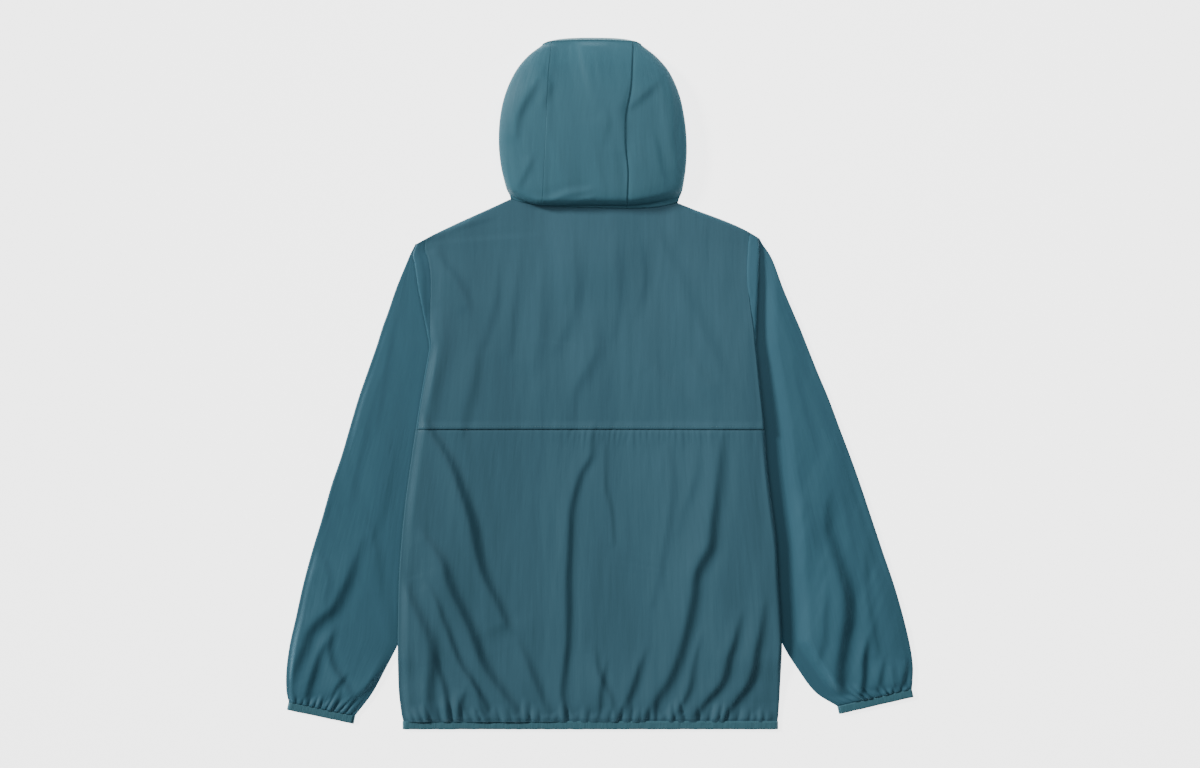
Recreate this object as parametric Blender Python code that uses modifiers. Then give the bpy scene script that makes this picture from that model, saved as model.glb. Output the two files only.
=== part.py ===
"""Hooded sun protection jacket with a full front zip, laid flat on its front, hood filled out.

The back faces up. +Y runs towards the hood, +X to the wearer's right and +Z up. The origin is on
the surface below the middle of the jacket. Lengths in the tables are millimetres.
"""
import math

import bmesh
import bpy
from mathutils import Matrix, Vector

MM = 0.001                    # metres in a millimetre

# ---- driving dimensions, millimetres -------------------------------------------------------
WALL = 1.2                    # thickness of each cloth panel
BAND = 2.4                    # thickness of a folded binding
SEAM = 0.3                    # gap between two panels along a seam
FLOOR = WALL / 2              # middle of a panel that lies on the surface
LAYER = 2.4                   # from one lying layer's middle to the next
BODY_GAP = 4.2                # from the front's middle up to the back's
BACK_OVER_SLEEVE = 9.0        # from the lowest layer up to the back, over a tucked sleeve
RAMP = 30.0                   # length of the slope up onto a tucked sleeve
ZIP_X = -11.5                 # middle of the garment
ZIP_HALF = 9.0                # from the middle to a front panel's edge
HEM_Y = -455.4                # lower edge of the panels, where the hem binding starts
HEM_BACK_Z = 3.9              # height of the back's middle at the hem
YOKE_SEAM_Y = -60.5           # cross seam between yoke and lower back, and foot of the armholes
BINDING_WIDTH = 10.0
BACK_GATHERS = 38             # gathers along the back hem
CUFF_GATHERS = 10             # gathers along the upper half of each cuff
CHIN_Y = 212.0                # top of the zip
NECK_DEPTH_Y = 153.5          # lowest point of the front neckline
NECK_MARKS = (0, 0.06, 0.18, 0.37, 0.58, 0.79, 1)    # points along each half of the front neckline
NECK_COLUMNS = len(NECK_MARKS) - 1
WAVE = 1.5                    # half height of a hem gather
SIDE_SEAM = 6.0               # the side seam, along the cloth from the side fold to its underside

LEFT, RIGHT = -1, 1
TIP_Y = {LEFT: 189.0, RIGHT: 197.0}                        # ends of the shoulder seams
TIP_X = {LEFT: -247.0, RIGHT: 213.5}
NECK = {LEFT: (-120.0, 249.8), RIGHT: (104.5, 244.3)}      # where shoulder meets hood
SHOULDER_BOW = {LEFT: 12.0, RIGHT: 24.0}                   # outward bow of the shoulder seams
NECK_DIP = 9.0                # how far the back neckline dips between its ends


def smooth(value):
    value = min(1.0, max(0.0, value))
    return value * value * (3 - 2 * value)


def mix(a, b, share):
    return a + (b - a) * share


class Table:
    """A short table with named columns, read along its first column on a smooth curve."""

    def __init__(self, columns, *rows):
        self.columns = columns.split()
        self.rows = sorted(rows)

    def at(self, column, key):
        rows, c = self.rows, self.columns.index(column)
        if key <= rows[0][0]:
            return rows[0][c]
        if key >= rows[-1][0]:
            return rows[-1][c]
        i = max(k for k in range(len(rows) - 1) if rows[k][0] <= key)
        step = rows[i + 1][0] - rows[i][0]

        def slope(k):
            a, b = max(k - 1, 0), min(k + 1, len(rows) - 1)
            return (rows[b][c] - rows[a][c]) / (rows[b][0] - rows[a][0])

        t = (key - rows[i][0]) / step
        bend_a = (2 * t ** 3 - 3 * t ** 2 + 1) * rows[i][c] + (t ** 3 - 2 * t ** 2 + t) * step * slope(i)
        bend_b = (3 * t ** 2 - 2 * t ** 3) * rows[i + 1][c] + (t ** 3 - t ** 2) * step * slope(i + 1)
        return bend_a + bend_b


# the body's folded side edges, as seen from above
SIDE_EDGE = Table(
    "y left right",
    (198, -243, 212.5), (189, -247, 214), (176, -252, 214.5), (164, -250, 214), (130, -245, 213),
    (97, -238.5, 211.5), (68, -233, 210.5), (52, -230, 210), (36, -232, 211.5), (5, -237.5, 214.5),
    (-50, -246.5, 220.5), (-103, -254.5, 224.5), (-157, -262, 230.5), (-211, -267.5, 237.5),
    (-265, -271, 240.5), (-312, -272, 243.5), (-352, -272.5, 245), (-413, -271.5, 242.5),
    (-446, -267.5, 240.5), (-454, -265.5, 239.5))

# where the back armhole seam runs, as a distance along the cloth from the side fold
ARMHOLE = Table(
    "y left right",
    (197, -9, -12), (176, -17, -15), (150, -20, -16), (130, -18, -15), (97, -11, -10),
    (68, -5.5, -5.5), (-60, -5.5, -5.5))

# the edge of the sleeve that is tucked beneath the body, above the underarm a second fold
TUCK = Table(
    "y left right",
    (197, -236, 201), (150, -222, 196), (97, -206, 188), (40, -191, 176), (-60.5, -176, 160),
    (-92, -179, 163), (-130, -187, 170), (-180, -200, 182), (-225, -216, 197), (-268, -234, 213),
    (-312, -255, 231), (-352, -273, 247), (-400, -296, 281))

# each sleeve from underarm to cuff: its inner and outer edge
SLEEVE = Table(
    "t left_in left_in_y left_out left_out_y right_in right_in_y right_out right_out_y",
    (0.00, -176, -60.5, -338, -60.5, 160, -60.5, 323.5, -60.5),
    (0.10, -179, -94, -349, -98, 163, -94, 338.5, -100),
    (0.22, -187, -130, -362, -136, 170, -130, 352, -138),
    (0.34, -200, -180, -376, -185, 182, -180, 368, -186),
    (0.45, -216, -225, -389, -228, 197, -225, 382, -228),
    (0.56, -234, -268, -400.5, -271, 213, -268, 396, -269),
    (0.67, -255, -312, -410, -314, 231, -312, 408.5, -312),
    (0.77, -273, -352, -418.5, -352, 247, -352, 418, -352),
    (0.86, -289, -383, -423, -386, 266, -383, 422, -380),
    (0.94, -308, -418, -423, -414, 291, -416, 421.5, -401),
    (1.00, -331, -448, -419.5, -429.5, 321, -435, 420.5, -412))

# the outer edge of each sleeve above the underarm
SLEEVE_TOP = Table(
    "y left right",
    (198, -246, 214), (189, -249, 219), (176, -255.5, 228), (163, -261, 234.5), (130, -274.5, 246.5),
    (98, -285.5, 260), (76, -293.5, 269.5), (52, -301, 279), (12, -315, 295), (-20, -326, 308.5),
    (-60.5, -338, 323.5))

# the hood in rows from neck (0) to forehead (1): side seams, outline and face opening
HOOD = Table(
    "row seam_y crown left_seam right_seam outline_y outline_z left right edge_y edge_z "
    "left_edge right_edge",
    (0.00, 247, 4.8, -79, 36, 250, 2.4, -120, 104.5, 153.5, 0.6, -20.5, -2.5),
    (0.05, 240.5, 12.5, -79, 36, 255.5, 6.3, -122, 106.5, 170, 0.6, -20.5, -2.5),
    (0.10, 243.5, 21, -79, 36, 260, 9, -124.5, 109, 190, 0.6, -20.5, -2.5),
    (0.17, 251.5, 27.5, -78, 36.5, 267, 12.5, -127, 111.5, 212, 0.6, -20.5, -2.5),
    (0.30, 284, 30.5, -76, 37.5, 293, 16.5, -133, 115.5, 252, 0.6, -42, 19),
    (0.45, 322, 32.5, -74, 34, 325, 17.5, -136, 116.5, 300, 0.6, -58, 35),
    (0.60, 360, 33.5, -72.5, 34.5, 360, 17.5, -134, 113, 350, 0.6, -66, 43),
    (0.74, 395, 32.5, -71, 41, 392, 16.5, -126.5, 105.5, 392, 0.6, -69, 46),
    (0.86, 427, 27, -69, 43, 421, 15, -113, 92, 423, 1.2, -70, 47),
    (0.94, 449.5, 18.5, -67, 44, 441, 12, -97, 75, 443, 3.5, -70, 48),
    (1.00, 461, 11.5, -65.5, 44.5, 457, 8.5, -77, 55, 453.5, 5.5, -68, 47))

# the largest folds: three points of the crease line, height of its ridge and width of the ridge
FOLD_COLUMNS = "x1 y1 x2 y2 x3 y3 height width"
BACK_FOLDS = (
    (-221, -68, -176, -165, -126, -316, 4.5, 12),
    (-229, -208, -195, -281, -155, -374, 6.0, 14),
    (-155, -374, -133, -410, -106, -443, 5.0, 13),
    (-226, -276, -198, -345, -145, -449, 3.6, 10),
    (-259, -268, -219, -340, -227, -449, 5.5, 15),
    (-7, -68, -50, -220, -46, -440, 4.5, 13),
    (-105, -351, -84, -400, -64, -447, 3.2, 12),
    (163, -110, 160, -215, 130, -284, 6.0, 15),
    (130, -284, 118, -365, 65, -447, 7.0, 15),
    (190, -319, 178, -395, 133, -444, 4.8, 12),
    (222, -305, 215, -395, 173, -446, 4.8, 12),
    (61, -366, 50, -407, 29, -449, 3.6, 12),
    (91, -76, 104, -170, 75, -292, 1.4, 14),
    (86, 199, 120, 118, 173, 16, 2.2, 18),
    (-75, 199, -68, 110, -80, 32, 2.0, 17))
SLEEVE_FOLDS = (
    (-321, -222, -362, -308, -419, -419, 6.0, 14),
    (-364, -346, -384, -389, -396, -432, 3.2, 10),
    (310, -168, 305, -215, 333, -268, 5.5, 14),
    (333, -268, 342, -335, 322, -430, 6.5, 14),
    (361, -346, 356, -380, 354, -419, 3.6, 10))
HOOD_FOLDS = (
    (-79, 410, -103, 370, -109, 337, 2.8, 11),
    (41, 402, 32, 360, 36, 316, 2.8, 11),
    (92, 415, 104, 370, 107, 294, 3.0, 10))


# ---- heights of the lying cloth ------------------------------------------------------------
def relief(x, y, folds):
    """Ridges beside the crease lines, gentle on the left of a line and steep on the right."""
    total = 0.0
    for fold in folds:
        f = dict(zip(FOLD_COLUMNS.split(), fold))
        reach = 3.2 * f["width"]
        low, high = min(f["y1"], f["y3"]) - reach, max(f["y1"], f["y3"]) + reach
        if not low < y < high:
            continue
        best = None
        for step in range(17):
            t = step / 16
            px = mix(mix(f["x1"], f["x2"], t), mix(f["x2"], f["x3"], t), t)
            py = mix(mix(f["y1"], f["y2"], t), mix(f["y2"], f["y3"], t), t)
            away = math.hypot(x - px, y - py)
            if best is None or away < best[0]:
                tx = 2 * mix(f["x2"] - f["x1"], f["x3"] - f["x2"], t)
                ty = 2 * mix(f["y2"] - f["y1"], f["y3"] - f["y2"], t)
                across = ((x - px) * -ty + (y - py) * tx) / math.hypot(tx, ty)
                best = (away, across, t)
        away, across, t = best
        if away > reach:
            continue
        past = across + f["width"]
        spread = f["width"] * (1.1 if past < 0 else 0.75)
        end = math.sin(math.pi * mix(0.12, 0.88, t))
        beyond = math.exp(-((away ** 2 - across ** 2) / f["width"] ** 2))
        total += f["height"] * end * beyond * math.exp(-(past / spread) ** 2)
    return total


def squeeze(y):
    """Lying layers draw together towards the shoulder tips."""
    return 1 - 0.25 * smooth((y - 140) / 50)


def column(side):
    return "left" if side == LEFT else "right"


def edge_x(side, y):
    return SIDE_EDGE.at(column(side), y)


def tuck_x(side, y):
    return TUCK.at(column(side), y)


def lift(x, y):
    """0 in the middle of the body, 1 over a tucked sleeve."""
    side = LEFT if x < ZIP_X else RIGHT
    inner = side * tuck_x(side, y)
    return smooth((side * x - inner + RAMP) / RAMP) * smooth((y + 405) / 38)


def zip_raise(x, y):
    """The front bows up a little over the zip's slider."""
    along = smooth((y - 100) / 70) * smooth((262 - y) / 45)
    return 4.0 * along * smooth((80 - abs(x - ZIP_X)) / 55)


def front_z(x, y):
    return FLOOR + 2 * LAYER * lift(x, y) * smooth((15 - y) / 75) + zip_raise(x, y)


def shoulder_y(x):
    """Upper edge of the body: two shoulder seams and the back neck seam between them."""
    for side in (LEFT, RIGHT):
        neck_x, neck_y = NECK[side]
        if side * x > side * neck_x:
            share = (x - neck_x) / (TIP_X[side] - neck_x)
            return mix(neck_y, TIP_Y[side], share) + SHOULDER_BOW[side] * share ** 2 * (1 - share)
    share = (x - NECK[LEFT][0]) / (NECK[RIGHT][0] - NECK[LEFT][0])
    return mix(NECK[LEFT][1], NECK[RIGHT][1], share) - NECK_DIP * (1 - (2 * share - 1) ** 4)


def back_plain_z(x, y):
    """The back without its folds and gathers."""
    over = BACK_OVER_SLEEVE * squeeze(y) - BODY_GAP
    z = FLOOR + BODY_GAP + over * lift(x, y) + 0.9 * zip_raise(x, y)
    return mix(HEM_BACK_Z, z, smooth((y - HEM_Y) / 30))


def back_z(x, y):
    z = back_plain_z(x, y)
    side = LEFT if x < ZIP_X else RIGHT
    from_side = side * edge_x(side, y) - side * x
    from_top = shoulder_y(x) - y
    z += relief(x, y, BACK_FOLDS) * smooth((from_side - 3) / 14) * smooth(from_top / 25)
    outside_neck = smooth((side * x - side * NECK[side][0] - 4) / 20)
    inside_tip = smooth((side * TIP_X[side] - side * x - 12) / 30)
    rest = FLOOR + WALL + SEAM
    return mix(z, mix(rest, z, smooth(from_top / 9)), outside_neck * inside_tip)


# ---- the fold along each side of the body --------------------------------------------------
def under_z(side, y):
    """The layer right under the folded side edge: sleeve above the underarm, front below it."""
    if y > YOKE_SEAM_Y - 0.2:
        return FLOOR + 2 * LAYER * squeeze(y)
    return front_z(edge_x(side, y) - side * 3, y)


def side_path(side, y, along):
    """A point of the side fold, by the distance along the cloth; positive is underneath."""
    over = back_plain_z(edge_x(side, y) - side * 3, y)
    under = under_z(side, y)
    radius = (over - under) / 2
    quarter = math.pi * radius / 2
    if abs(along) <= quarter:
        outward = radius * math.cos(along / radius)
        z = (over + under) / 2 - radius * math.sin(along / radius)
    else:
        outward = quarter - abs(along)
        z = under
    x = edge_x(side, y) - side * (radius - outward)
    if along < -quarter:
        z = back_plain_z(x, y)
    return x, z


# ---- building ------------------------------------------------------------------------------
def clear_scene():
    for thing in list(bpy.data.objects):
        bpy.data.objects.remove(thing, do_unlink=True)


def cloth_material(name, colour, roughness=0.6, metallic=0.0):
    material = bpy.data.materials.new(name)
    material.use_nodes = True
    shader = material.node_tree.nodes["Principled BSDF"]
    shader.inputs["Base Color"].default_value = (*colour, 1.0)
    shader.inputs["Roughness"].default_value = roughness
    shader.inputs["Metallic"].default_value = metallic
    return material


def add_grid(mesh, columns, rows, place, finer=None):
    """A grid of columns and rows, each point put by place(column, row); finer splits edges."""
    grid = bmesh.new()
    bmesh.ops.create_grid(grid, x_segments=columns, y_segments=rows, size=0.5)
    for v in grid.verts:
        v.co = Vector(((v.co.x + 0.5) * columns, (v.co.y + 0.5) * rows, 0.0))
    if finer:
        cuts, wanted = finer
        level = [e for e in grid.edges if abs(e.verts[0].co.y - e.verts[1].co.y) < 0.01]
        split = [e for e in level if wanted(*((e.verts[0].co + e.verts[1].co) / 2).xy)]
        bmesh.ops.subdivide_edges(grid, edges=split, cuts=cuts, use_grid_fill=True)
        bmesh.ops.triangulate(grid, faces=[f for f in grid.faces if len(f.verts) > 4])
    for v in grid.verts:
        v.co = Vector(place(v.co.x, v.co.y)) * MM
    step = bpy.data.meshes.new("grid")
    grid.to_mesh(step)
    grid.free()
    mesh.from_mesh(step)
    bpy.data.meshes.remove(step)


def finish_panel(name, mesh, material, collection, thickness=WALL):
    """Weld the grids of a panel and give it its wall."""
    bmesh.ops.remove_doubles(mesh, verts=mesh.verts, dist=0.00002)
    bmesh.ops.recalc_face_normals(mesh, faces=mesh.faces)
    data = bpy.data.meshes.new(name)
    mesh.to_mesh(data)
    mesh.free()
    data.materials.append(material)
    data.shade_smooth()
    panel = bpy.data.objects.new(name, data)
    collection.objects.link(panel)
    wall = panel.modifiers.new("wall", "SOLIDIFY")
    wall.thickness = thickness * MM
    wall.offset = 0.0
    return panel


# ---- back ----------------------------------------------------------------------------------
FOLD_COLUMNS_SIDE = 4
GATHERED_ROWS = 4
OPEN_ROWS = 9
GATHER_TOP_Y = HEM_Y + 34.0
ARMHOLE_ROWS = 9


def lower_y(row):
    """Height of a row of the lower body, closer together in the gathers."""
    if row <= GATHERED_ROWS:
        return mix(HEM_Y, GATHER_TOP_Y, (row / GATHERED_ROWS) ** 1.3)
    return mix(GATHER_TOP_Y, YOKE_SEAM_Y, (row - GATHERED_ROWS) / OPEN_ROWS)


def armhole_rise(row):
    """Share of the way up from underarm to shoulder, rows closer together at the top."""
    return 1 - (1 - row / ARMHOLE_ROWS) ** 1.5


def head_y(side, x, y):
    """Carries the top of the armhole up to the shoulder seam's own line."""
    rise = (y - YOKE_SEAM_Y) / (TIP_Y[side] - YOKE_SEAM_Y)
    return y + (shoulder_y(x) - TIP_Y[side]) * max(rise, 0) ** 8


def quarter_turn(side, y):
    over = back_plain_z(edge_x(side, y) - side * 3, y)
    return math.pi * (over - under_z(side, y)) / 4


def back_edge_point(side, y, edge, step):
    """Across the side fold, from the panel's edge (step 0) to the open back (last step)."""
    quarter = quarter_turn(side, y)
    along = edge
    if step > 0:
        along = min(quarter * (5 - 2 * step) / 3, edge - 0.6 * step)
    return side_path(side, y, along)


def make_yoke(material, collection):
    shoulder, neck = 5, 24
    columns = 2 * shoulder + neck
    bottom = YOKE_SEAM_Y + SEAM / 2

    def place(c, r):
        rise = armhole_rise(r)
        if c <= shoulder or c >= shoulder + neck:
            s, k = (LEFT, c) if c <= shoulder else (RIGHT, columns - c)
            y_side = mix(bottom, TIP_Y[s], rise)
            start = side_path(s, y_side, ARMHOLE.at(column(s), y_side) - SEAM / 2)[0]
            x = mix(start, NECK[s][0], k / shoulder)
            if k == 0:
                y = head_y(s, x, y_side)
                return x, y, back_plain_z(x, y)
        else:
            x = mix(NECK[LEFT][0], NECK[RIGHT][0], (c - shoulder) / neck)
        y = mix(bottom, shoulder_y(x), rise)
        return x, y, back_z(x, y)

    mesh = bmesh.new()
    add_grid(mesh, columns, ARMHOLE_ROWS, place)
    return finish_panel("back_yoke", mesh, material, collection)


def gather_wave(share, from_edge, count, height, length=34.0):
    """Gathers that stand highest a little way above the binding and die out above it."""
    swell = smooth(from_edge / 7) * 0.7 + 0.3
    fade = smooth((length - from_edge) / (length - 7))
    return height * swell * fade * (1 + math.cos(2 * math.pi * count * share))


def make_lower_back(material, collection):
    inner = BACK_GATHERS
    columns = inner + 2 * FOLD_COLUMNS_SIDE
    rows = GATHERED_ROWS + OPEN_ROWS

    def place(c, r):
        y = lower_y(r) - (SEAM / 2 if r == rows else 0)
        for s, k in ((LEFT, c), (RIGHT, columns - c)):
            if k < FOLD_COLUMNS_SIDE:
                x, z = back_edge_point(s, y, SIDE_SEAM, k)
                return x, y, z
        share = (c - FOLD_COLUMNS_SIDE) / inner
        left = back_edge_point(LEFT, y, SIDE_SEAM, FOLD_COLUMNS_SIDE)[0]
        right = back_edge_point(RIGHT, y, SIDE_SEAM, FOLD_COLUMNS_SIDE)[0]
        x = mix(left, right, share)
        ends = smooth(share * inner) * smooth((1 - share) * inner)
        wave = gather_wave(share + 0.5 / inner, y - HEM_Y, BACK_GATHERS, WAVE)
        return x, y, back_z(x, y) + ends * wave

    def wanted(c, r):
        return r < GATHERED_ROWS - 0.5 and FOLD_COLUMNS_SIDE < c < columns - FOLD_COLUMNS_SIDE

    mesh = bmesh.new()
    add_grid(mesh, columns, rows, place, finer=(1, wanted))
    return finish_panel("back_lower", mesh, material, collection)


# ---- fronts --------------------------------------------------------------------------------
def neckline(side, mark):
    """The front neckline, from the shoulder (first mark) to the zip (last)."""
    neck_x, neck_y = NECK[side]
    share = NECK_MARKS[int(mark)]
    x = mix(neck_x, ZIP_X + side * ZIP_HALF, share ** 1.3)
    return x, mix(neck_y, NECK_DEPTH_Y, 1 - (1 - share) ** 1.7)


def front_armhole_x(side, y):
    return tuck_x(side, y) - side * 9


def make_front(side, material, collection):
    outer = 4
    lower = GATHERED_ROWS + OPEN_ROWS
    columns, rows = NECK_COLUMNS + outer, lower + ARMHOLE_ROWS
    wing_top = YOKE_SEAM_Y - SEAM / 2
    wing, wing_edge = 4, SIDE_SEAM + 0.4

    def line_x(y):
        """From the armhole straight on down to the hem."""
        inner = side * edge_x(side, y) - 12
        return side * min(inner, side * front_armhole_x(side, y))

    def row_y(r):
        return lower_y(r) if r < lower else wing_top

    def place(c, r):
        above = armhole_rise(max(r - lower, 0))
        y_side = row_y(r) if r <= lower else mix(YOKE_SEAM_Y, TIP_Y[side], above)
        outer_x = line_x(y_side) - side * SEAM / 2 * (r > lower)
        if c <= NECK_COLUMNS:
            x, top = neckline(side, NECK_COLUMNS - c)
        else:
            x = mix(NECK[side][0], outer_x, (c - NECK_COLUMNS) / outer)
            top = shoulder_y(x) if c < columns else TIP_Y[side]
        y = row_y(r) if r <= lower else mix(YOKE_SEAM_Y, top, above)
        return x, y, front_z(x, y)

    def place_wing(c, r):
        y = row_y(r)
        x, z = side_path(side, y, wing_edge)
        if c < 1:
            return x, y, z
        x = mix(x, line_x(y), c / wing)
        return x, y, front_z(x, y)

    mesh = bmesh.new()
    add_grid(mesh, columns, rows, place)
    add_grid(mesh, wing, lower, place_wing)
    return finish_panel("front_" + column(side), mesh, material, collection)


# ---- sleeves -------------------------------------------------------------------------------
HIDDEN_COLUMNS = 2            # upper layer columns beneath the body
OPEN_COLUMNS = 10             # and beside it, one for each cuff gather
TOP_COLUMNS = HIDDEN_COLUMNS + OPEN_COLUMNS
OUTER_ROLL = 4.4              # height of the rolled outer edge above the lowest layer


def sleeve_top_z(side, x, y, out_x, in_x):
    """The sleeve's upper layer: flat beneath the body, filled out beside it."""
    body = min(side * in_x, side * edge_x(side, y)) if y < -352 else side * edge_x(side, y)
    body = max(body, side * in_x)
    beside = smooth((side * x - body + 2) / 30)
    inside = side * out_x - side * x
    puff = mix(3.2, 5.0, smooth((40 - y) / 200))
    swell = (OUTER_ROLL - LAYER) + puff * smooth(inside / 45)
    folds = relief(x, y, SLEEVE_FOLDS) * smooth((inside - 3) / 12)
    return FLOOR + LAYER * squeeze(y) + beside * (swell * squeeze(y) ** 3 + folds)


def make_sleeve(side, material, collection):
    name = column(side)
    head, back_run, fold, roll, under = 4, 2, 3, 3, 2
    upper_columns = head + back_run + fold + TOP_COLUMNS + roll + under + 1
    lower_columns = fold + TOP_COLUMNS + roll + under
    lower_rows = 13
    fold_radius = LAYER / 2

    def top_run(share, in_point, out_point):
        """Upper layer, rolled outer edge and lower layer, for one row of the sleeve."""
        in_x, in_y = in_point
        out_x, out_y = out_point
        slope = (out_y - in_y) / (out_x - in_x)
        edge_top = sleeve_top_z(side, out_x - side * 2, out_y, out_x, in_x)
        radius = (edge_top - FLOOR) / 2
        start = in_x + side * fold_radius
        end = out_x - side * radius
        if share <= TOP_COLUMNS:
            beside = edge_x(side, in_y + slope * (edge_x(side, in_y) - in_x)) + side
            beside = side * min(max(side * beside, side * start + 3), side * end - 6)
            across = (share - HIDDEN_COLUMNS) / OPEN_COLUMNS
            if across < 0:
                x = mix(start, beside, share / HIDDEN_COLUMNS)
            else:
                x = mix(beside, end, across)
            y = in_y + slope * (x - in_x)
            return x, y, sleeve_top_z(side, x, y, out_x, in_x), across
        share -= TOP_COLUMNS
        if share <= roll:
            angle = math.pi * share / roll
            x = end + side * radius * math.sin(angle)
            z = FLOOR + radius * (1 + math.cos(angle))
        else:
            x = mix(end, start, (share - roll) / under)
            z = FLOOR
        return x, in_y + slope * (x - in_x), z, 1.0

    def head_along(y, c):
        """Over the fold, from the armhole seam to the layer beneath."""
        seam = ARMHOLE.at(name, y) + SEAM / 2 + 0.1
        if c < 1:
            return seam
        return max(quarter_turn(side, y) * (2 * c - 5) / 3, seam + 0.6 * c)

    def place_upper(c, r):
        y = mix(YOKE_SEAM_Y, TIP_Y[side], armhole_rise(r))
        in_x = tuck_x(side, y)
        out_x = SLEEVE_TOP.at(name, y)
        gap = squeeze(y) * LAYER
        if c <= head:
            x, z = side_path(side, y, head_along(y, c))
            return x, head_y(side, x, y), z
        c -= head
        if c < back_run:
            start = side_path(side, y, head_along(y, head) + 0.8)[0]
            x = mix(start, in_x + side * gap / 2, c / back_run)
            return x, y, FLOOR + 2 * gap
        c -= back_run
        if c < fold:
            angle = math.pi * c / fold
            x = in_x + side * gap / 2 * (1 - math.sin(angle))
            return x, y, FLOOR + gap * (1.5 + 0.5 * math.cos(angle))
        c -= fold
        if c <= TOP_COLUMNS + roll + under:
            return top_run(c, (in_x, y), (out_x, y))[:3]
        x = front_armhole_x(side, y) + side * SEAM / 2
        return x, y, front_z(x, y)

    def place_lower(c, r):
        t = (1 - r / lower_rows) ** 0.9
        ends = {k: SLEEVE.at(name + "_" + k, t) for k in ("in", "in_y", "out", "out_y")}
        in_point, out_point = (ends["in"], ends["in_y"]), (ends["out"], ends["out_y"])
        slope = (out_point[1] - in_point[1]) / (out_point[0] - in_point[0])
        settle = smooth((1 - t) / 0.07)
        notch = 3.0 * smooth((0.02 - t) / 0.02)
        if c < fold:
            angle = math.pi * c / fold
            start = in_point[0] + side * fold_radius
            top = sleeve_top_z(side, start, in_point[1], out_point[0], in_point[0])
            top = mix(HEM_BACK_Z, top, settle)
            x = in_point[0] + side * fold_radius * (1 - math.sin(angle))
            y = in_point[1] + slope * (x - in_point[0]) - notch * math.sin(angle)
            return x, y, mix(FLOOR, top, (1 - math.cos(angle)) / 2)
        x, y, z, across = top_run(c - fold, in_point, out_point)
        if c == fold:
            return x, y, mix(HEM_BACK_Z, z, settle)
        if z > FLOOR:
            z = mix(min(z, HEM_BACK_Z), z, settle)
        if 0 < across < 1:
            wave = gather_wave(across + 0.05, (1 - t) * 480, CUFF_GATHERS, 1.2, 30)
            z += wave * math.sin(math.pi * across) ** 0.3
        return x, y, z

    def wanted(c, r):
        return r < 2.5 and fold + HIDDEN_COLUMNS < c < fold + TOP_COLUMNS

    mesh = bmesh.new()
    add_grid(mesh, upper_columns, ARMHOLE_ROWS, place_upper)
    add_grid(mesh, lower_columns, lower_rows, place_lower, finer=(1, wanted))
    return finish_panel("sleeve_" + name, mesh, material, collection)


# ---- hood ----------------------------------------------------------------------------------
HOOD_MARKS = (0.0, 0.02, 0.05, 0.10, 0.17, 0.26, 0.36, 0.46, 0.56, 0.66, 0.76, 0.85, 0.93, 1.0)
CHIN_ROW = 4                  # the mark where the zip ends and the face opening starts
HOOD_ARCH = 3.5               # rise of the centre panel between its seams
HOOD_TOP_BOW = 1.6            # forward bow of its free edge
NECK_STAND = 3.5              # the hood rises this much at the neck before it bulges
CORNER_Z = 3.0                # height of the hood's neck corners
CORNER_STEP = (1.4, 1.7, 1.6)      # from a neck corner to the next row: outwards, back and up


def seam_point(side, v):
    x = HOOD.at(column(side) + "_seam", v)
    return neck_stand(x, HOOD.at("seam_y", v), HOOD.at("crown", v), v)


def neck_stand(x, y, z, v):
    """Near the neck the hood stands up behind the yoke's edge."""
    if v > 0.03:
        return x, y, z
    edge = shoulder_y(x)
    foot = back_z(x, edge)
    return x, edge + SEAM + WALL / 2, foot + NECK_STAND * (v > 0.01)


def outline_point(side, v):
    drop = (NECK[side][1] - NECK[LEFT][1]) * smooth((0.3 - v) / 0.3)
    x, y, z = HOOD.at(column(side), v), HOOD.at("outline_y", v) + drop, HOOD.at("outline_z", v)
    if v < 0.03:
        x, y = NECK[side][0] - side * SEAM, NECK[side][1] + SEAM + WALL / 2
        out, back, up = (step * (v > 0.01) for step in CORNER_STEP)
        return x + side * out, y + back, CORNER_Z + up
    return x, y, z


def edge_point(side, v):
    x, y = HOOD.at(column(side) + "_edge", v), HOOD.at("edge_y", v)
    return x, y + SEAM * (v < 0.01), HOOD.at("edge_z", v) + zip_raise(x, y)


def make_hood_centre(material, collection):
    columns = 6

    def place(c, r):
        v, u = HOOD_MARKS[int(r)], c / columns
        left, right = seam_point(LEFT, v), seam_point(RIGHT, v)
        x = mix(left[0] + SEAM / 2, right[0] - SEAM / 2, u)
        arch = 4 * u * (1 - u)
        y = mix(left[1], right[1], u) + arch * HOOD_TOP_BOW * smooth((v - 0.8) / 0.2)
        z = mix(left[2], right[2], u) + arch * HOOD_ARCH * math.sin(math.pi * v)
        x, y, z = neck_stand(x, y, z, v)
        return x, y, z + relief(x, y, HOOD_FOLDS) * smooth(v / 0.3)

    mesh = bmesh.new()
    add_grid(mesh, columns, len(HOOD_MARKS) - 1, place)
    return finish_panel("hood_centre", mesh, material, collection)


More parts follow.
